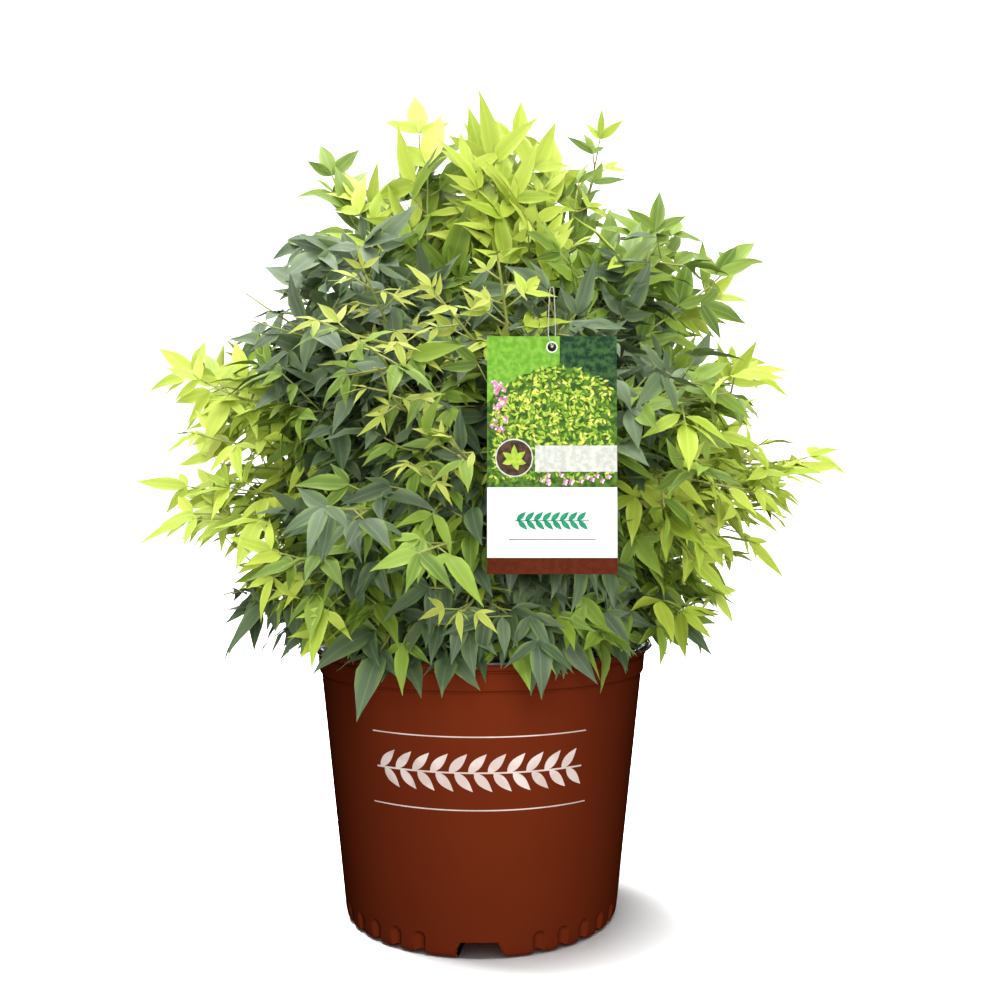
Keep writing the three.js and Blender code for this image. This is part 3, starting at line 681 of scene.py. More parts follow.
leafShape = {
    # for each tier: how many sisters, their share of its reach, how much higher they end, how
    # much the leaflets hang, and how steeply their faces look up
    "sisters": {
        "spire": (2, (0.8, 2.0), (-110, -60), -0.5, 10), "top": (2, (0.5, 1.05), (-105, -55), -0.35, 15),
        "upper": (5, (0.45, 1.0), (-90, -20), 0.05, 30), "middle": (8, (0.55, 0.94), (-75, 15), 0.15, 40),
        "skirt": (7, (0.6, 1.0), (-60, 25), 0.3, 40), "low": (6, (0.65, 1.1), (-30, 20), 0.6, 35)},
    "pairs": 5, "leafyFrom": 0.06, "sideStalk": 60.0, "shorterAtEnd": 0.5, "sideAngle": 56.0,
    "lift": 0.7, "stagger": 0.22, "roll": 34.0, "sag": 0.3,
    "ownSide": 0.62, "ownSize": 1.1, "leaderSide": 0.36,
    "facing": 0.75, "wayward": 0.4, "steadied": 0.65, "flankLift": 0.45,
    "flankTurn": 0.6, "fixedTurn": 0.25, "frontPush": 70.0, "frontTo": 30.0,
    "stalkRadius": (1.3, 0.75), "sideRadius": (0.75, 0.52), "twigRadius": 0.46,
    "trioSpread": 54.0, "airyFrom": 540.0, "airy": 0.85, "thinned": 0.6, "seed": 20,
    # leaflets on twigs beside a side stalk: where along it, from what length of it on, how many
    # and their size
    "beside": ((0.22, 40.0, 3, 0.84), (0.62, 26.0, 1, 0.8), (0.44, 52.0, 3, 0.8)),
    # a trio's middle, the longest leaflet at size 1, and how many leaflets a piece may hold
    "trioReach": 24.0, "longest": 40.0, "mostInPiece": 8000,
}
# leaves that stand out of the crown: where the last leaflets sit, how steeply the stalk comes
# in, the leaf's age, how much its leaflets hang and their size
leaderColumns = ("end", "pitch", "age", "hang", "size")
leaders = [
    # the spires on top
    ((20, -20, 645), 88, 0.26, -0.9, 1.2),
    ((10, -60, 592), 84, 0.30, -0.9, 1.5),
    ((36, -40, 606), 76, 0.28, -0.8, 1.2),
    ((-51, -30, 629), 86, 0.56, -0.9, 1.5),
    ((-42, -60, 590), 80, 0.50, -0.9, 1.5),
    ((-8, -70, 584), 74, 0.28, -0.8, 1.2),
    ((58, -10, 596), 70, 0.32, -0.7, 1.3),
    ((-126, 0, 606), 70, 0.68, -0.8, 1.2),
    ((-102, -20, 578), 64, 0.40, -0.8, 1.1),
    ((100, 10, 640), 80, 0.56, -0.9, 0.9),
    ((80, -10, 594), 76, 0.56, -0.8, 1.0),
    ((142, -20, 552), 70, 0.62, -0.8, 1.4),
    ((116, -60, 520), 78, 0.56, -0.9, 1.5),
    ((160, 10, 556), 66, 0.60, -0.7, 1.2),
    ((204, -10, 526), 46, 0.64, -0.4, 1.3),
    ((190, 20, 508), 24, 0.44, -0.2, 1.2),
    # the flanks, from the top down
    ((-138, -40, 536), 24, 0.98, -0.1, 1.3),
    ((-150, 30, 520), 30, 0.98, -0.1, 1.2),
    ((-186, 10, 474), 20, 0.98, 0.1, 1.3),
    ((-236, -10, 438), 30, 0.28, -0.3, 1.2),
    ((-214, -60, 424), 28, 0.30, -0.2, 1.1),
    ((-248, 25, 440), 26, 0.30, -0.3, 1.2),
    ((-216, 20, 404), 24, 0.30, -0.2, 1.1),
    ((-228, -50, 366), 14, 0.28, -0.1, 1.2),
    ((-208, -90, 380), 16, 0.36, 0.0, 1.0),
    ((-222, 20, 336), 8, 0.32, 0.0, 1.1),
    ((-236, -20, 344), 12, 0.34, -0.1, 1.2),
    ((-222, -50, 322), 0, 0.36, 0.0, 1.2),
    ((-214, -70, 318), 2, 0.34, 0.0, 1.2),
    ((-200, -20, 350), 10, 0.34, 0.0, 1.1),
    ((-184, -90, 340), 8, 0.36, 0.0, 1.1),
    ((-158, -60, 258), -24, 0.98, 0.5, 1.3),
    ((-174, -40, 250), -34, 0.98, 0.3, 1.3),
    ((-176, 20, 276), -8, 0.42, 0.2, 1.0),
    ((206, -60, 428), 24, 0.50, -0.1, 1.1),
    ((210, 20, 452), 30, 0.44, -0.2, 1.1),
    ((272, 0, 370), 14, 0.28, -0.1, 1.1),
    ((252, -20, 358), 18, 0.30, -0.2, 1.2),
    ((232, -50, 352), 10, 0.34, 0.0, 1.1),
    ((204, -80, 338), 6, 0.36, 0.0, 1.1),
    ((244, 10, 344), 4, 0.32, 0.0, 1.1),
    ((228, -20, 326), 0, 0.34, 0.0, 1.1),
    ((204, -60, 302), -8, 0.40, 0.2, 1.0),
    ((170, -50, 268), -14, 0.56, 0.3, 1.0),
    # fine young leaves before the dark middle
    ((-94, -230, 436), 14, -0.3, 0.0, 0.9),
    ((-56, -238, 402), 26, -0.3, -0.2, 0.85),
    ((-14, -236, 364), 20, -0.3, 0.0, 0.85),
    ((-40, -230, 348), 10, -0.1, 0.1, 0.8),
    ((-28, -186, 466), 34, -0.3, -0.3, 0.85),
    ((-76, -170, 482), 30, -0.3, -0.2, 0.85),
    ((14, -196, 484), 44, 0.16, -0.2, 0.8),
    ((-10, -216, 258), 6, 0.16, 0.1, 0.7),
    # the foremost leaves
    ((-84, -262, 322), 4, 0.96, 0.3, 1.1),
    ((-30, -268, 296), -4, 0.6, 0.4, 1.0),
    ((130, -240, 330), 6, 0.6, 0.3, 1.0),
    # leaves that hang over the rim
    ((-104, -130, 240), -30, 0.52, 0.7, 1.1),
    ((-66, -150, 228), -30, 0.96, 1.0, 1.2),
    ((-18, -158, 226), -36, 0.96, 1.0, 1.0),
    ((26, -158, 236), -20, 0.60, 0.7, 1.1),
    ((82, -140, 240), -14, 0.60, 0.6, 1.0),
]
# length, width over length, fold of the two halves, droop of the tip
leaflets = {
    "Lime": {"length": 36.0, "slim": 0.31, "fold": 0.24, "droop": 0.14},
    "Yellow": {"length": 25.0, "slim": 0.25, "fold": 0.20, "droop": 0.14},
    "Fresh": {"length": 34.0, "slim": 0.34, "fold": 0.24, "droop": 0.18},
    "Deep": {"length": 36.0, "slim": 0.38, "fold": 0.22, "droop": 0.20},
}
kinds = list(leaflets)
# nothing of a leaf touches the pot's wall, or hides the tag and its thread from the front
clearances = {
    "wall": (126.0, 143.0), "inside": 196.0, "rim": 219.0,
    "tagLow": (0.0, 272.0), "tagHigh": (99.0, 441.0), "tagFace": -188.0,
    "threadLow": (38.0, 428.0), "threadHigh": (60.0, 472.0), "threadFace": -186.0,
}


def inTagRoom(p, s=clearances):
    hidden = np.zeros(p.shape[:-1], bool)
    for low, high, face in (("tagLow", "tagHigh", "tagFace"), ("threadLow", "threadHigh", "threadFace")):
        hidden |= ((p[..., 0] > s[low][0]) & (p[..., 0] < s[high][0]) & (p[..., 2] > s[low][1])
                   & (p[..., 2] < s[high][1]) & (p[..., 1] < s[face]))
    return hidden


# the crown is a rounded clump: from the front an oval over a hem that rises towards the sides.
# Only the leaders stand out of it
crownOval = {
    "eye": (15.0, -850.0, 307.0), "middle": 15.0, "waist": 360.0, "halfWidth": 235.0,
    "above": 252.0, "below": 250.0, "hem": 190.0, "hemRise": 40.0, "ragged": 18.0, "standOut": 75.0,
}


def insideCrown(p, slack, s=crownOval):
    # drawn back to the plane of the pot's axis along the line from the eye
    eye = np.array(s["eye"])
    share = -eye[1] / (p[..., 1] - eye[1])
    x = eye[0] + (p[..., 0] - eye[0]) * share
    z = eye[2] + (p[..., 2] - eye[2]) * share
    across = (x - s["middle"]) / (s["halfWidth"] + slack)
    upright = (z - s["waist"]) / (np.where(z > s["waist"], s["above"], s["below"]) + slack)
    hem = s["hem"] + s["hemRise"] * across ** 2
    return (across ** 2 + upright ** 2 < 1) & (z > hem - slack / 4)


def inPotRoom(p, s=clearances):
    r = np.hypot(p[..., 0], p[..., 1])
    inWall = (p[..., 2] < s["rim"]) & (r > s["wall"][0]) & (r < s["wall"][1])
    return inWall | ((p[..., 2] < s["inside"] + 4) & (r < s["wall"][0]))


# an outline of half widths at shares of the length: widest at a third, with a long drawn-out tip
outline = {"along": [0, 0.07, 0.2, 0.36, 0.54, 0.72, 0.87, 1.0],
           "half": [0, 0.42, 0.86, 1.0, 0.84, 0.5, 0.2, 0]}


# the kind of leaflet on each side stalk follows from its age: young at the far ends and at the
# top, old inside and in a few older boughs; one patch low in the middle makes leaflets darker as painted
# shade
ages = {
    "tiers": {"spire": 0.30, "top": 0.38, "upper": 0.74, "middle": 0.70, "skirt": 0.68, "low": 0.70},
    "ownYounger": -0.06, "towardsEnd": 0.2, "varies": 0.2, "leafVaries": 0.36,
    "limits": {"Yellow": 0.1, "Lime": 0.46, "Fresh": 0.76},
    # x, z, radius and how much older, seen from the front; the patch at x 20, z 255 darkens leaflets as
    # painted shade under the crown
    "patches": [
        (-140, 480, 80, 0.45), (-80, 370, 70, 0.15), (-110, 540, 50, 0.35), (120, 450, 60, 0.35),
        (-218, 395, 80, -0.6), (-220, 320, 60, -0.55), (240, 360, 75, -0.5), (165, 325, 60, -0.3),
        (20, 590, 80, -0.2), (-55, 585, 55, -0.25), (-125, 325, 45, 0.3), (-200, 235, 50, 0.7),
        # (20, 255, 70, 0.35) darkens the leaflets low in the middle, just over the rim, as painted shade
        (20, 255, 70, 0.35), (-190, 310, 50, -0.3), (-110, 270, 30, -0.15), (195, 500, 70, -0.3),
        (0, 490, 55, 0.25), (120, 565, 50, 0.35)],
}


def leaderPath(end, pitch, wood):
    # from the nearest wood that lies lower, in at its pitch: two thirds up, one third outwards
    below = np.maximum(0, wood[:, 2] - end[2] + 50)
    start = wood[np.argmin(np.linalg.norm(wood - end, axis=1) + 2 * below)]
    outwards = unit((end - start) * [1, 1, 0])
    heading = outwards * math.cos(math.radians(pitch)) + up * math.sin(math.radians(pitch))
    third = 0.36 * np.linalg.norm(end - start)
    return np.array([start, start + unit(2 * up + outwards) * third, end - heading * third, end])


def growRachises(s):
    # the shoots' own leaves, then their sisters, then the leaves that stand out
    rng = np.random.default_rng(s["seed"])
    rows = []
    for shoot in shoots:
        tier = shoot["tier"]
        habit = habits[tier]
        many, reaches, higher, hang, look = s["sisters"][tier]
        shared = {"age": ages["tiers"][tier], "hang": hang, "look": look, "fixed": 0.0}
        rows.append({**shared, "path": shoot["path"], "start": max(shoot["wood"], 0.12),
                     "from": shoot["wood"], "side": s["ownSide"], "size": s["ownSize"],
                     "age": ages["tiers"][tier] + ages["ownYounger"]})
        bay = 360 / rings[tier]["count"]
        for number in range(many):
            azimuth = shoot["azimuth"] + bay * ((number + 0.5) / many - 0.5 + rng.uniform(-0.1, 0.1))
            reach = shoot["reach"] * rng.uniform(*reaches)
            height = shoot["height"] + rng.uniform(*higher)
            start = bezier(shoot["path"], np.float64(shoot["wood"] * rng.uniform(0.45, 0.95)))
            path = shootPath(start, around(azimuth, reach, height), {
                "rise": habit["rise"] * 0.3, "arching": habit["arching"]})
            rows.append({**shared, "path": path, "start": 0.3, "from": 0.0, "side": 1.0, "size": 1.0})
    woody = [bezier(shoot["path"][None], np.linspace(0.3, 1, 30) * shoot["wood"]) for shoot in shoots]
    wood = np.concatenate(woody)
    for leader in (dict(zip(leaderColumns, row)) for row in leaders):
        path = leaderPath(np.array(leader["end"], float), leader["pitch"], wood)
        rows.append({"path": path, "start": 0.25, "from": 0.0, "side": s["leaderSide"],
                     "size": leader["size"], "age": leader["age"], "hang": leader["hang"],
                     "look": max(10, 50 - leader["pitch"]), "fixed": 1.0})

    def showsTag(row):
        return not inTagRoom(bezier(row["path"][None], np.linspace(row["start"], 1, 20))).any()

    return [row for row in rows if showsTag(row)], rng


def columnOf(rows, key):
    return np.array([row[key] for row in rows])[:, None]


def growSideStalks(rows, rng, s):
    # pairs of side stalks and one more that carries the rachis on, all as arrays (leaf, stalk)
    n, places = len(rows), 2 * s["pairs"] + 1
    path = columnOf(rows, "path")
    start = columnOf(rows, "start")
    pair = np.append(np.repeat(np.arange(s["pairs"]), 2), s["pairs"])[None]
    hand = np.append(np.tile([1, -1], s["pairs"]), 0)[None]
    share = (pair + s["stagger"] * (hand < 0)) / s["pairs"]
    share = s["leafyFrom"] + (1 - s["leafyFrom"]) * np.minimum(share, 1) + np.zeros((n, 1))
    t = start + (1 - start) * share
    root, ahead = bezier(path, t), headingOf(path, t)
    level = unit(np.cross(ahead, up))
    roll = rng.uniform(-0.5, 0.5, (n, 1)) * s["roll"]
    side = turned(level, ahead, roll + np.zeros((n, places)))
    normal = unit(np.cross(side, ahead))
    length = s["sideStalk"] * (1 - s["shorterAtEnd"] * share) * rng.uniform(0.75, 1.2, (n, places))
    length = np.where(hand == 0, 0.45 * length, length) * columnOf(rows, "side")
    angle = hand * s["sideAngle"] * rng.uniform(0.8, 1.2, (n, places))
    lift = s["lift"] * (rng.uniform(0, 1, (n, places)) - (pair + (hand > 0)) % 2) * (hand != 0)
    heading = unit(turned(ahead, normal, angle) + normal * lift[..., None])
    hang = columnOf(rows, "hang") + 0.3 * rng.uniform(-1, 1, (n, places))
    flank = np.minimum(np.abs(root[..., 0]) / 200, 1) ** 2
    hang = hang - s["flankLift"] * flank * (1 - columnOf(rows, "fixed"))
    return root, heading, normal, length, share, hang


rachises, rng = growRachises(leafShape)
root, heading, normal, sideLength, share, nod = growSideStalks(rachises, rng, leafShape)
middleOf = root + heading * (0.5 * sideLength)[..., None]
endHeading = unit(heading - up * (leafShape["sag"] * nod)[..., None])
sideEnd = middleOf + endHeading * (0.5 * sideLength)[..., None]
print("leaves laid out:", len(rachises), "with", root.shape[0] * root.shape[1], "side stalks")


def agesWithShadeOf(place, share, rows, rng, s):
    # older inside than at the end, with steps from leaf to leaf and smaller ones from spray to spray; the
    # patches shift it, and the one low in the middle darkens leaflets as painted shade
    age = columnOf(rows, "age") + s["towardsEnd"] * (0.5 - share)
    age = age + s["varies"] * rng.uniform(-0.5, 0.5, share.shape)
    loose = 1 - columnOf(rows, "fixed")
    age = age + loose * s["leafVaries"] * rng.uniform(-0.5, 0.5, (len(rows), 1))
    for x, z, radius, ageAndShadeShift in s["patches"]:
        away = ((place[..., 0] - x) ** 2 + (place[..., 2] - z) ** 2) / radius ** 2
        age = age + loose * ageAndShadeShift * np.exp(-away)
    return age


age = agesWithShadeOf(sideEnd, share, rachises, rng, ages)
limits = ages["limits"]
kindOf = np.select([age < limits["Yellow"], age < limits["Lime"], age < limits["Fresh"]],
                   [kinds.index("Yellow"), kinds.index("Lime"), kinds.index("Fresh")], kinds.index("Deep"))


def growTrios(s, rng):
    # a trio at each side stalk's end, two on short twigs beside it at half way, and a pair of
    # single leaflets between, fewer of them high up: for each, where it is rooted, its heading,
    # normal, size and count
    flat = lambda a: a.reshape(-1, *a.shape[2:])
    base, bend, tip = flat(root), flat(middleOf), flat(sideEnd)
    along, lie, long = flat(endHeading), flat(normal), flat(sideLength)
    lie = unit(lie - along * (lie * along).sum(-1, keepdims=True))
    kind, droop = kindOf.ravel(), flat(nod)
    scale = np.broadcast_to(columnOf(rachises, "size"), nod.shape).ravel()
    look = np.broadcast_to(columnOf(rachises, "look"), nod.shape).ravel()
    fixed = np.broadcast_to(columnOf(rachises, "fixed"), nod.shape).ravel()
    hubs, heads, lies, sizes, counts, owners, twigs = [], [], [], [], [], [], []

    def add(*made):
        for kept, some in zip((hubs, heads, lies, sizes, counts, owners), made):
            kept.append(some)

    everyOne = np.arange(len(base))
    add(tip, along, lie, np.full(len(base), 1.0), np.full(len(base), 3), everyOne)
    for hand in (1, -1):
        for at, least, count, size in s["beside"]:
            airy = (tip[:, 2] > s["airyFrom"]) & (rng.uniform(0, 1, len(long)) < s["airy"])
            chosen = everyOne[(long > least * rng.uniform(0.75, 1.15, len(long))) & ~airy]
            where = at + 0.1 * rng.uniform(-1, 1, len(chosen))
            hub = np.where((where < 0.5)[:, None], base[chosen] + (bend - base)[chosen] * 2 * where[:, None],
                           bend[chosen] + (tip - bend)[chosen] * (2 * where - 1)[:, None])
            out = unit(turned(along[chosen], lie[chosen], hand * rng.uniform(44, 72, len(chosen)))
                       + lie[chosen] * rng.uniform(-0.35, 0.35, len(chosen))[:, None])
            twig = rng.uniform(5, 17, len(chosen)) if count == 3 else rng.uniform(0.5, 3, len(chosen))
            end = hub + out * twig[:, None]
            twigs.append(np.stack([hub, end], 1))
            sizeHere = size * rng.uniform(0.8, 1.15, len(chosen))
            add(end, out, lie[chosen], sizeHere, np.full(len(chosen), count), chosen)
    join = np.concatenate
    owner = join(owners)
    return (join(hubs), join(heads), join(lies), join(sizes) * scale[owner], join(counts), kind[owner],
            droop[owner], look[owner], fixed[owner], owner, join(twigs))


(hub, head, lie, size, count, trioKind, trioNod, trioLook, trioFixed, trioStalk,
 twigs) = growTrios(leafShape, rng)


def growLeaflets(s, rng):
    # every trio's three leaflets, or its single one, as arrays. Their faces turn to the light, away
    # from the middle of the crown and on its flanks half to the front or back, and the heading is
    # what is left of the stalk's in that plane
    n = len(hub)
    ahead = np.stack([np.zeros(n), np.where(hub[:, 1] < s["frontTo"], -1.0, 1.0), np.zeros(n)], -1)
    outwards = unit(hub * [1, 1, 0] + ahead * s["frontPush"])
    sideways = (s["flankTurn"] + s["fixedTurn"] * trioFixed)[:, None] * np.abs(outwards[:, :1]) ** 1.5
    outwards = unit(outwards * (1 - sideways) + ahead * sideways)
    rise = np.radians(trioLook + rng.uniform(-22, 22, n))[:, None]
    light = outwards * np.cos(rise) + up * np.sin(rise)
    wander = rng.normal(0, s["wayward"], (n, 3)) * (1 - s["steadied"] * trioFixed)[:, None]
    normal = unit(lie * (1 - s["facing"]) + light * s["facing"] + wander)
    along = head - up * (trioNod * rng.uniform(0.3, 1.3, n))[:, None]
    along = unit(along - 0.85 * normal * (along * normal).sum(-1, keepdims=True))
    normal = unit(normal - along * (normal * along).sum(-1, keepdims=True))
    roots, heads, normals, lengths, kept = [], [], [], [], []
    for hand in (-1, 0, 1):
        chosen = np.arange(n)[count == 3] if hand else np.arange(n)
        spread = hand * s["trioSpread"] * rng.uniform(0.82, 1.2, len(chosen))
        ahead = turned(along[chosen], normal[chosen], spread)
        ahead = unit(ahead + normal[chosen] * rng.uniform(-0.28, 0.12, len(chosen))[:, None])
        above = unit(normal[chosen] - ahead * (normal[chosen] * ahead).sum(-1, keepdims=True))
        above = turned(above, ahead, rng.normal(0, 16, len(chosen)))
        roots.append(hub[chosen])
        heads.append(ahead)
        normals.append(above)
        lengths.append(size[chosen] * (0.84 if hand else 1.08) * rng.uniform(0.7, 1.14, len(chosen)))
        kept.append(chosen)
    kept = np.concatenate(kept)
    return (np.concatenate(roots), np.concatenate(heads), np.concatenate(normals),
            np.concatenate(lengths), kept)


leafRoot, leafHeading, leafNormal, leafSize, leafTrio = growLeaflets(leafShape, rng)
leafKind = trioKind[leafTrio]
leafTint = rng.uniform(0, 1, len(leafRoot))


def clearOf(rootPoints, headings, lengths):
    ok = np.ones(len(rootPoints), bool)
    for share in (0.0, 0.35, 0.7, 1.0):
        p = rootPoints + headings * (lengths * share)[:, None] - up * (0.2 * lengths * share ** 2)[:, None]
        ok &= ~(inPotRoom(p) | inTagRoom(p))
    return ok


def makeLeaflets(name, chosen, shape, tint):
    # half width = outline x slim x length / 2, lifted by the fold away from the midrib, and the
    # midrib bends down by droop x length x share^2
    along = np.array(outline["along"])
    half = np.array(outline["half"])
    inner = slice(1, -1)
    n = len(chosen)
    length = (leafSize[chosen] * shape["length"])[:, None]
    ahead, above, base = leafHeading[chosen], leafNormal[chosen], leafRoot[chosen]
    across = np.cross(ahead, above)
    bend = rng.uniform(0.5, 1.6, (n, 1)) * shape["droop"]
    sway = rng.normal(0, 0.06, (n, 1))
    wave = rng.uniform(-0.02, 0.02, (n, len(along)))
    forward = length * (along - 0.35 * bend ** 2 * along ** 3)
    drop = length * (-bend * along ** 2 + wave)
    aside = length * sway * along ** 2
    rib = (base[:, None] + ahead[:, None] * forward[..., None] + above[:, None] * drop[..., None]
           + across[:, None] * aside[..., None])
    wide = length * half * shape["slim"] / 2 * rng.uniform(0.85, 1.15, (n, 1))
    fold = shape["fold"] * rng.uniform(0.2, 2.0, (n, 1))
    edge = lambda hand: (rib + hand * across[:, None] * (wide * np.cos(fold))[..., None]
                         + above[:, None] * (wide * np.sin(fold))[..., None])[:, inner]
    points = np.concatenate([rib, edge(-1), edge(1)], 1)
    stations = len(along)
    m = stations - 2
    ribs, left, right = np.arange(stations), stations + np.arange(m), stations + m + np.arange(m)
    quads = np.concatenate([
        np.stack([left[:-1], ribs[1:-2], ribs[2:-1], left[1:]], -1),
        np.stack([ribs[1:-2], right[:-1], right[1:], ribs[2:-1]], -1)])
    ends = np.array([[0, ribs[1], left[0]], [0, right[0], ribs[1]],
                     [left[-1], ribs[-2], ribs[-1]], [ribs[-2], right[-1], ribs[-1]]])
    each = stations + 2 * m
    u = np.concatenate([np.full(stations, 0.5), 0.5 - half[inner] / 2, 0.5 + half[inner] / 2])
    v = np.concatenate([along, along[inner], along[inner]])
    uv = np.tile(np.stack([u, v], -1), (n, 1))
    return meshOf(name, points.reshape(-1, 3), [copiesOf(quads, n, each), copiesOf(ends, n, each)],
                  uv=uv, tint=np.repeat(tint[chosen], each))


def leafGroup():
    # the blade's midrib, edge and side veins as masks, from the leaf's own UV map
    group = bpy.data.node_groups.new("blade", "ShaderNodeTree")
    for name in ("rib", "edge", "veins"):
        group.interface.new_socket(name=name, in_out="OUTPUT", socket_type="NodeSocketFloat")
    uv = addNode(group, "ShaderNodeUVMap", uv_map="leaf").outputs[0]
    parts = addNode(group, "ShaderNodeSeparateXYZ", {0: uv}).outputs
    off = mathNode(group, "ABSOLUTE", mathNode(group, "SUBTRACT", parts[0], 0.5))
    rib = mathNode(group, "SUBTRACT", 1.0, mathNode(group, "MULTIPLY", off, 22.0), clamp=True)
    edge = mathNode(group, "MULTIPLY", mathNode(group, "SUBTRACT", off, 0.22), 3.4, clamp=True)
    slant = mathNode(group, "SUBTRACT", mathNode(group, "MULTIPLY", parts[1], 62.0),
                     mathNode(group, "MULTIPLY", off, 46.0))
    veins = mathNode(group, "POWER", mathNode(group, "ABSOLUTE", mathNode(group, "SINE", slant)), 0.35)
    out = addNode(group, "NodeGroupOutput")
    for index, socket in enumerate((rib, edge, veins)):
        group.links.new(socket, out.inputs[index])
    return group


blade = leafGroup()


def leafMaterial(name, dark, light, rim, under, roughness):
    # from dark to light by leaflet and by slow noise, paler at the rim, on the rib and underneath
    material, tree, shader = newMaterial(name, roughness, 0.35)
    slow, fine, normal = addMottle(tree, 16.0, 260.0, 0.12, 0.0003)
    made = tree.nodes.new("ShaderNodeGroup")
    made.node_tree = blade
    rib, edge, veins = made.outputs
    tint = addNode(tree, "ShaderNodeAttribute", attribute_name="tint").outputs["Fac"]
    share = mathNode(tree, "ADD", mathNode(tree, "MULTIPLY", tint, 0.7),
                     mathNode(tree, "MULTIPLY", slow, 0.3))
    base = mixColour(tree, share, dark, light)
    base = mixColour(tree, mathNode(tree, "MULTIPLY", edge, 0.75), base, rim)
    base = mixColour(tree, mathNode(tree, "MULTIPLY", rib, 0.4), base, rim)
    back = addNode(tree, "ShaderNodeNewGeometry").outputs["Backfacing"]
    base = mixColour(tree, mathNode(tree, "MULTIPLY", back, 0.55), base, under)
    tree.links.new(base, shader.inputs["Base Color"])
    bump = addNode(tree, "ShaderNodeBump",
                   {"Strength": 0.35, "Distance": 0.0004, "Height": veins, "Normal": normal})
    tree.links.new(bump.outputs[0], shader.inputs["Normal"])
    return material


# dark, light, rim, underside and roughness
leafLooks = {
    "Lime": ((144, 172, 40), (195, 211, 78), (202, 217, 96), (184, 202, 90), 0.5),
    "Yellow": ((142, 160, 46), (188, 196, 86), (198, 204, 104), (182, 190, 96), 0.5),
    "Fresh": ((66, 96, 26), (142, 170, 56), (156, 184, 68), (142, 168, 82), 0.46),
    "Deep": ((54, 74, 50), (100, 120, 84), (126, 152, 78), (120, 138, 100), 0.42),
}
leafMaterials = {kind: leafMaterial(kind.lower() + "Leaf", *[colourOf(*c) for c in colours], roughness)
                 for kind, (*colours, roughness) in leafLooks.items()}
clear = clearOf(leafRoot, leafHeading, leafSize * leafShape["longest"])
# a whole trio stays inside the crown's edge or goes, and its stalks with it
ragged = rng.uniform(-1, 1, len(hub)) * crownOval["ragged"] + trioFixed * crownOval["standOut"]
clear &= insideCrown(hub + head * (size * leafShape["trioReach"])[:, None], ragged)[leafTrio]
# high up, where the crown is thinner, some of the trios go too
high = np.clip((hub[:, 2] - leafShape["airyFrom"]) / 50, 0, 1) * (1 - trioFixed)
draw = np.random.default_rng(leafShape["seed"] + 1).uniform(0, 1, len(hub))
clear &= (draw >= leafShape["thinned"] * high)[leafTrio]
trioStays = np.bincount(leafTrio, clear, len(hub)) > 0
stalkStays = np.bincount(trioStalk, trioStays, root.shape[0] * root.shape[1]) > 0
stands = {"Lime": ["foliage_spire", "foliage_top", "foliage_middle"], "Yellow": ["foliage_spire"],
          "Fresh": ["foliage_skirt", "foliage_low"], "Deep": ["foliage_upper", "foliage_low"]}
mostInPiece = leafShape["mostInPiece"]
for number, kind in enumerate(kinds):
    # a kind with many leaflets is parted from left to right
    chosen = np.flatnonzero((leafKind == number) & clear)
    chosen = chosen[np.argsort(leafRoot[chosen, 0])]
    for part, some in enumerate(np.array_split(chosen, math.ceil(len(chosen) / mostInPiece))):
        mesh = makeLeaflets(f"leaves{kind}{part + 1}", some, leaflets[kind], leafTint)
        pieceOf(mesh, [leafMaterials[kind]], stands[kind])
    print("leaflets", kind, len(chosen))


# leaf stalks: the rachis of each compound leaf, its side stalks and the twigs of its leaflets

def makeStalks(s):
    # each main stalk goes as far as its last side stalk that stays
    paths = np.array([row["path"] for row in rachises])
    starts, leafy = columnOf(rachises, "from"), columnOf(rachises, "start")
    held = stalkStays.reshape(share.shape) * (leafy + (1 - leafy) * share)
    ends = held.max(1, keepdims=True)
    shares = starts + (ends - starts) * np.linspace(0, 1, 15)
    grown = (ends > starts)[:, 0]
    shares, paths = shares[grown], paths[grown]
    centres = bezier(paths[:, None], shares)
    radii = np.broadcast_to(np.linspace(*s["stalkRadius"], 15), shares.shape)
    parts = [tubes(centres, radii, 6)]
    bent = np.stack([root, 0.25 * root + 0.5 * middleOf + 0.25 * sideEnd, sideEnd], 2).reshape(-1, 3, 3)
    bent = bent[stalkStays & ~(inPotRoom(bent) | inTagRoom(bent)).any(1)]
    parts.append(tubes(bent, np.broadcast_to(np.linspace(*s["sideRadius"], 3), bent.shape[:2]), 4))
    fine = twigs[trioStays[len(hub) - len(twigs):] & ~(inPotRoom(twigs) | inTagRoom(twigs)).any(1)]
    parts.append(tubes(fine, np.full(fine.shape[:2], s["twigRadius"]), 3))
    points, faces, offset = [], [], 0
    for some, lists in parts:
        points.append(some)
        faces += [f + offset for f in lists]
        offset += len(some)
    return meshOf("leafStalks", np.concatenate(points), faces)


def stalkMaterial():
    material, tree, shader = newMaterial("leafStalk", 0.5, 0.35)
    slow, fine, normal = addMottle(tree, 24.0, 500.0, 0.2, 0.0003)
    base = mixColour(tree, slow, colourOf(138, 156, 66), colourOf(172, 172, 100))
    tree.links.new(base, shader.inputs["Base Color"])
    tree.links.new(normal, shader.inputs["Normal"])
    return material


pieceOf(makeStalks(leafShape), [stalkMaterial()], ["foliage_"])
print("stalks made")


# tag and thread: the card keeps its solid and gets its finish, and the thread is drawn anew

def plainMaterial(name, colour, roughness):
    material, tree, shader = newMaterial(name, roughness, 0.4)
    slow, fine, normal = addMottle(tree, 30.0, 1500.0, 0.05, 0.00005)
    light = tuple(min(1.0, c * 1.06) for c in colour[:3]) + (1.0,)
    tree.links.new(mixColour(tree, slow, colour, light), shader.inputs["Base Color"])
    tree.links.new(normal, shader.inputs["Normal"])
    return material


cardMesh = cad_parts["tag"].data
cardMesh.materials.clear()
cardMesh.materials.append(plainMaterial("tagCard", colourOf(240, 240, 238), 0.35))
cardLow, cardHigh = (np.array(corner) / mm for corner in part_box("tag"))

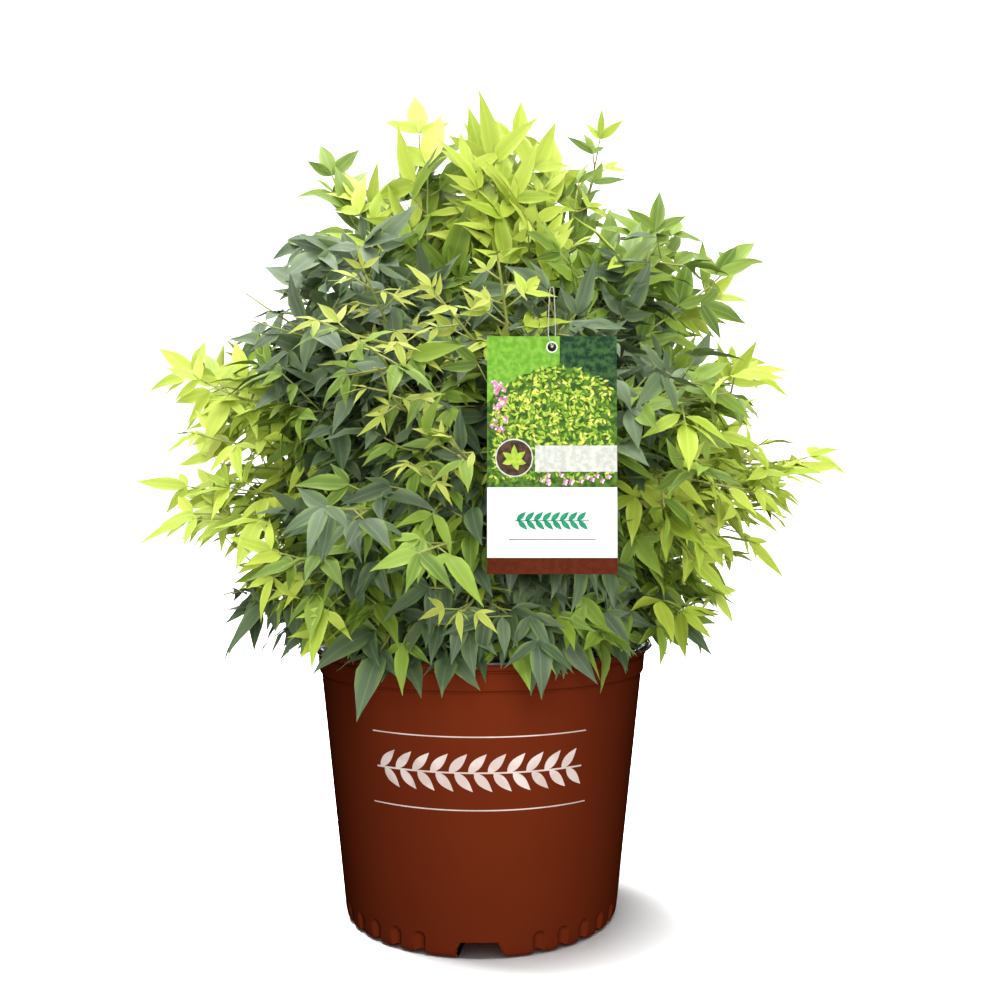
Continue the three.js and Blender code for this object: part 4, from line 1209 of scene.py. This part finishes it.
# the card's print: a garden picture over a pale band and a round inset, a white field with a
# sprig on it, and a brown foot. Lengths run from the card's lower left corner.
tagPrint = {
    "foot": 10.5, "picture": 56.0, "hole": 3.7, "holeBelowTop": 7.0,
    "mound": (46.0, 62.0, 84.0), "hedgeFrom": 47.0, "hedgeFoot": 112.0,
    "leaves": 980, "leafLength": (3.0, 6.0), "flowers": 46, "band": (31.0, 66.0, 83.0),
    "inset": (17.5, 75.0), "insetRadius": 12.4, "sprig": (18.0, 34.0), "seed": 8,
}
inks = {
    "brown": ((84, 30, 8), (92, 36, 12)), "lawn": ((106, 162, 48), (132, 184, 66)),
    "hedge": ((24, 56, 36), (62, 96, 52)), "shade": ((52, 84, 34), (92, 128, 44)),
    "mid": ((104, 148, 42), (138, 178, 58)), "light": ((158, 188, 60), (186, 208, 82)),
    "yellow": ((210, 212, 88), (226, 224, 118)), "pale": ((196, 199, 188), (218, 219, 210)),
    "dark": ((58, 46, 38), (92, 70, 56)), "pink": ((206, 112, 164), (228, 158, 196)),
    "petal": ((238, 214, 226), (246, 234, 240)), "green": ((38, 142, 104), (48, 152, 112)),
    "grey": ((120, 122, 122), (136, 138, 138)),
}
inkNames = list(inks)


def onTag(p, depth):
    return np.stack([cardLow[0] + p[:, 0], np.full(len(p), cardLow[1] - depth), cardLow[2] + p[:, 1]], -1)


def discEdges(x, z, radius, steps=30):
    across = np.linspace(-1, 1, steps) * radius
    half = np.sqrt(radius ** 2 - across ** 2) + 0.01
    return np.stack([x + across, z - half], -1), np.stack([x + across, z + half], -1)


def unitShares(share):
    # how often each green of the shrub comes, from its foot to its top
    weights = np.array([0.6 - 0.4 * share, 0.8, 1.0 + 0.6 * share, 0.4 + 0.5 * share])
    return weights / weights.sum()


def tagStrips(s):
    rng = np.random.default_rng(s["seed"])
    wide, tall = (cardHigh - cardLow)[[0, 2]]
    strips = []

    def ink(edges, name, layer):
        strips.append((*edges, (0.0, 0.02 + 0.02 * layer), inkNames.index(name)))

    ink(barEdges(0, wide, 0, s["foot"], 2), "brown", 0)
    # the picture's ground leaves the hole open
    x, z, r = wide / 2, tall - s["holeBelowTop"], s["hole"]
    ink(barEdges(0, x - r, s["picture"], tall, 2), "lawn", 0)
    ink(barEdges(x + r, wide, s["picture"], tall, 2), "lawn", 0)
    low, high = discEdges(x, z, r)
    floor, ceiling = np.full(len(low), s["picture"]), np.full(len(low), tall)
    ink((np.stack([low[:, 0], floor], -1), low), "lawn", 0)
    ink((high, np.stack([low[:, 0], ceiling], -1)), "lawn", 0)
    across = np.linspace(s["hedgeFrom"], wide, 24)
    foot = s["hedgeFoot"] + 3 * np.sin(across * 0.9)
    ink((np.stack([across, foot], -1), np.stack([across, np.full(24, tall)], -1)), "hedge", 1)
    # the shrub: a mound filled with small leaves, darker low down
    middle, halfWide, rise = s["mound"]
    moundAt = lambda u: s["picture"] + rise * (1 - 0.5 * ((u - middle) / halfWide) ** 2)
    across = np.linspace(0, wide, 40)
    top = moundAt(across) - 6 + 1.5 * np.sin(across * 1.7)
    ink((np.stack([across, np.full(40, s["picture"])], -1), np.stack([across, top], -1)), "shade", 2)
    for number in range(s["leaves"]):
        length = rng.uniform(*s["leafLength"])
        u = rng.uniform(4, wide - 4)
        share = rng.uniform(0, 1)
        v = s["picture"] + 4 + (moundAt(u) - s["picture"] - 10) * share
        name = rng.choice(["shade", "mid", "light", "yellow"], p=unitShares(share))
        place = np.array([u, v])
        angle = rng.uniform(0, 360)
        ink(leafEdges(place, angle, min(length, 4.0), 0.34 * length, 4), name, 3 + 0.01 * number)
    for number in range(s["flowers"]):
        # flowers stand at the left edge and in the bed under the band
        uRange, vRange = ((3, 12), (92, 126)) if number % 3 else ((33, wide - 4), (58, 64))
        u = rng.uniform(*uRange)
        v = rng.uniform(*vRange)
        for turn in range(4):
            ink(leafEdges((u, v), 90 * turn + 40 * rng.uniform(), 1.9, 1.5, 4),
                "pink" if (number + turn) % 3 else "petal", 11 + 0.01 * number)
    ink(barEdges(s["band"][0], wide, *s["band"][1:], 2), "pale", 13)
    for radius, name, layer in ((1.0, "pale", 14), (0.93, "dark", 15)):
        ink(discEdges(*s["inset"], radius * s["insetRadius"]), name, layer)
    for angle, length in ((90, 10), (38, 9), (146, 9), (-16, 8), (196, 8), (-70, 7)):
        foot = np.array(s["inset"]) - (0, 1.5)
        ink(leafEdges(foot, angle, length, 4.2, 9), "light", 16 + 0.01 * angle / 10)
    # the sprig on the white field
    x, z = s["sprig"]
    ink(barEdges(x, wide - x, z, z + 0.7, 2), "green", 0)
    for place in np.linspace(x + 1, wide - x - 8, 8):
        for hand in (1, -1):
            ink(leafEdges((place + (hand < 0), z + 0.35), 44 * hand, 8.4, 3.4, 7), "green", 0)
    ink(barEdges(x - 4, wide - x + 4, z - 12, z - 11.3, 2), "grey", 0)
    return strips


inkMaterials = [inkMaterial(name + "Ink", colourOf(*dark), colourOf(*light), 260.0)
                for name, (dark, light) in inks.items()]
pieceOf(printMesh("tagPicture", tagStrips(tagPrint), onTag), inkMaterials)
print("tag printed")

# the thread: one loop through the hole and over the leaf stalk, with a knot in front
threadShape = {"radius": 0.3, "halfWidth": 2.2, "topWidth": 1.3, "clear": 0.9, "knot": 0.9, "steps": 12}


def smoothLoop(keys, steps):
    # a closed Catmull-Rom curve through the keys
    before, after, beyond = (np.roll(keys, -k, axis=0)[:, None] for k in (-1, 1, 2))
    here = keys[:, None]
    t = np.linspace(0, 1, steps, endpoint=False)[None, :, None]
    curve = 0.5 * (2 * here + (after - before) * t + (2 * before - 5 * here + 4 * after - beyond) * t ** 2
                   + (3 * here - before - 3 * after + beyond) * t ** 3)
    curve = curve.reshape(-1, 3)
    return np.concatenate([curve, curve[:1]])


def makeThread(s):
    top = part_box("tag_thread")[1][2] / mm - s["radius"]
    x = (cardLow[0] + cardHigh[0]) / 2
    hole = cardHigh[2] - tagPrint["holeBelowTop"]
    front, back = cardLow[1] - s["clear"], cardHigh[1] + s["clear"]
    middle = (front + back) / 2
    keys = np.array([
        [x, front - 0.4, hole], [x - s["halfWidth"], front, cardHigh[2]],
        [x - s["halfWidth"], middle, (cardHigh[2] + top) / 2 - 6], [x - s["topWidth"], middle, top - 2.2],
        [x, middle, top], [x + s["topWidth"], middle, top - 2.2],
        [x + s["halfWidth"], middle, (cardHigh[2] + top) / 2 - 6], [x + s["halfWidth"], back, cardHigh[2]],
        [x + 0.6, back, hole + 0.6], [x + 0.2, middle, hole]])
    path = smoothLoop(keys, s["steps"])
    twist = 1 + 0.12 * np.sin(np.arange(len(path)) * 2.1)
    loop, loopFaces = tubes(path[None], (s["radius"] * twist)[None], 8)
    along = np.linspace(-1, 1, 7)
    ball = s["knot"] * np.sqrt(np.maximum(1 - along ** 2, 0.02))
    knot, knotFaces = tubes((keys[0] + along[:, None] * [s["knot"], 0.0, 0.25])[None], ball[None], 8)
    faces = [*loopFaces, *[f + len(loop) for f in knotFaces]]
    return meshOf("threadLoop", np.concatenate([loop, knot]), faces)


pieceOf(makeThread(threadShape), [plainMaterial("tagThread", colourOf(176, 182, 168), 0.5)],
        ["tag_thread"])
print("tag hung")


# studio: a pale sweep, soft lights and the camera

def makeSweep():
    # level floor that curves up behind into a wall, as a profile drawn across the width
    turn = np.linspace(0, np.pi / 2, 24)
    bend = np.stack([2.2 + 1.4 * np.sin(turn), 1.4 - 1.4 * np.cos(turn)], -1)
    profile = np.concatenate([[[-4.0, 0.0]], bend, [[3.6, 5.0]]])
    across = np.linspace(-5, 5, 3)
    points = np.stack([np.repeat(across[None], len(profile), 0), np.repeat(profile[:, :1], 3, 1),
                       np.repeat(profile[:, 1:], 3, 1)], -1).reshape(-1, 3) / mm
    sweep = bpy.data.objects.new("studioSweep", meshOf("studioSweep", points, [gridFaces(len(profile), 3)]))
    bpy.context.scene.collection.objects.link(sweep)
    material, tree, shader = newMaterial("paleFloor", 0.9, 0.1)
    shader.inputs["Base Color"].default_value = (0.93, 0.93, 0.93, 1)
    sweep.data.materials.append(material)
    sweep.visible_diffuse = False
    sweep.visible_glossy = False
    return sweep


def linkedPieces(name, pieces, state):
    collection = bpy.data.collections.new(name)
    for piece in pieces:
        collection.objects.link(piece)
    for linked in collection.collection_objects:
        linked.light_linking.link_state = state
    return collection


def addLight(name, place, target, size, power, only=(), spares=(), blockers=()):
    # a lamp may light only some pieces, or spare some, and only some may stand in its light
    light = bpy.data.lights.new(name, "AREA")
    light.shape = "RECTANGLE"
    light.size, light.size_y = size
    light.energy = power
    lamp = bpy.data.objects.new(name, light)
    bpy.context.scene.collection.objects.link(lamp)
    if only or spares:
        state = "INCLUDE" if only else "EXCLUDE"
        lamp.light_linking.receiver_collection = linkedPieces(name, [*only, *spares], state)
    if blockers:
        lamp.light_linking.blocker_collection = linkedPieces(name + "Blockers", blockers, "INCLUDE")
    away = np.array(place, float) - np.array(target, float)
    lamp.location = place
    flat = math.hypot(away[0], away[1])
    lamp.rotation_euler = (math.atan2(flat, away[2]), 0, math.atan2(away[0], -away[1]))


sweep = makeSweep()
pot = [potPiece, border]
others = [*pot, sweep]
addLight("overhead", (-0.4, -0.25, 2.2), (0, 0, 0.35), (2.2, 2.0), 71, spares=others)
addLight("keyRight", (0.9, -2.0, 1.0), (0, 0, 0.25), (0.6, 0.9), 15, spares=others)
addLight("frontFill", (-0.2, -2.3, 0.6), (0, 0, 0.35), (1.8, 1.0), 21, spares=others)
addLight("lowLeft", (-1.5, -0.8, 0.12), (-0.1, 0, 0.28), (1.0, 0.5), 12, spares=others)
addLight("lowRight", (1.5, -0.8, 0.12), (0.1, 0, 0.28), (1.0, 0.5), 15, spares=others)
addLight("backFill", (0, 2.2, 0.5), (0, 0, 0.35), (2.0, 1.0), 22, spares=others)
addLight("potKey", (0.04, -0.55, 0.24), (0, 0, 0.11), (0.12, 0.4), 5.6, only=pot)
addLight("potBack", (0.4, 2.0, 0.5), (0, 0, 0.12), (0.4, 0.7), 30, only=pot)
addLight("potBackLeft", (-0.4, 2.0, 0.5), (0, 0, 0.12), (0.4, 0.7), 30, only=pot)
addLight("floorWide", (-0.1, -0.1, 2.4), (0, 0.4, 0), (1.2, 1.2), 90, only=[sweep], blockers=pot)
addLight("floorKey", (-0.46, 0.35, 2.3), (0, 0.2, 0), (1.2, 0.8), 180, only=[sweep], blockers=pot)
addLight("backdrop", (0, 1.0, 2.6), (0, 3.2, 1.2), (4.0, 1.0), 190)
world = bpy.data.worlds.new("studio")
bpy.context.scene.world = world
world.use_nodes = True
world.node_tree.nodes["Background"].inputs["Color"].default_value = (1, 1, 1, 1)
world.node_tree.nodes["Background"].inputs["Strength"].default_value = 0.3
bpy.context.scene.view_settings.view_transform = "Standard"

view = {"place": (0.0151, -0.85, 0.307), "pitch": 1.85, "lens": 36.504}
camera = bpy.data.cameras.new("camera")
camera.sensor_width = 36
camera.lens = view["lens"]
camera.clip_start, camera.clip_end = 0.01, 30
eye = bpy.data.objects.new("camera", camera)
bpy.context.scene.collection.objects.link(eye)
eye.location = view["place"]
eye.rotation_euler = (math.radians(90 + view["pitch"]), 0, 0)
bpy.context.scene.camera = eye
print("studio set")
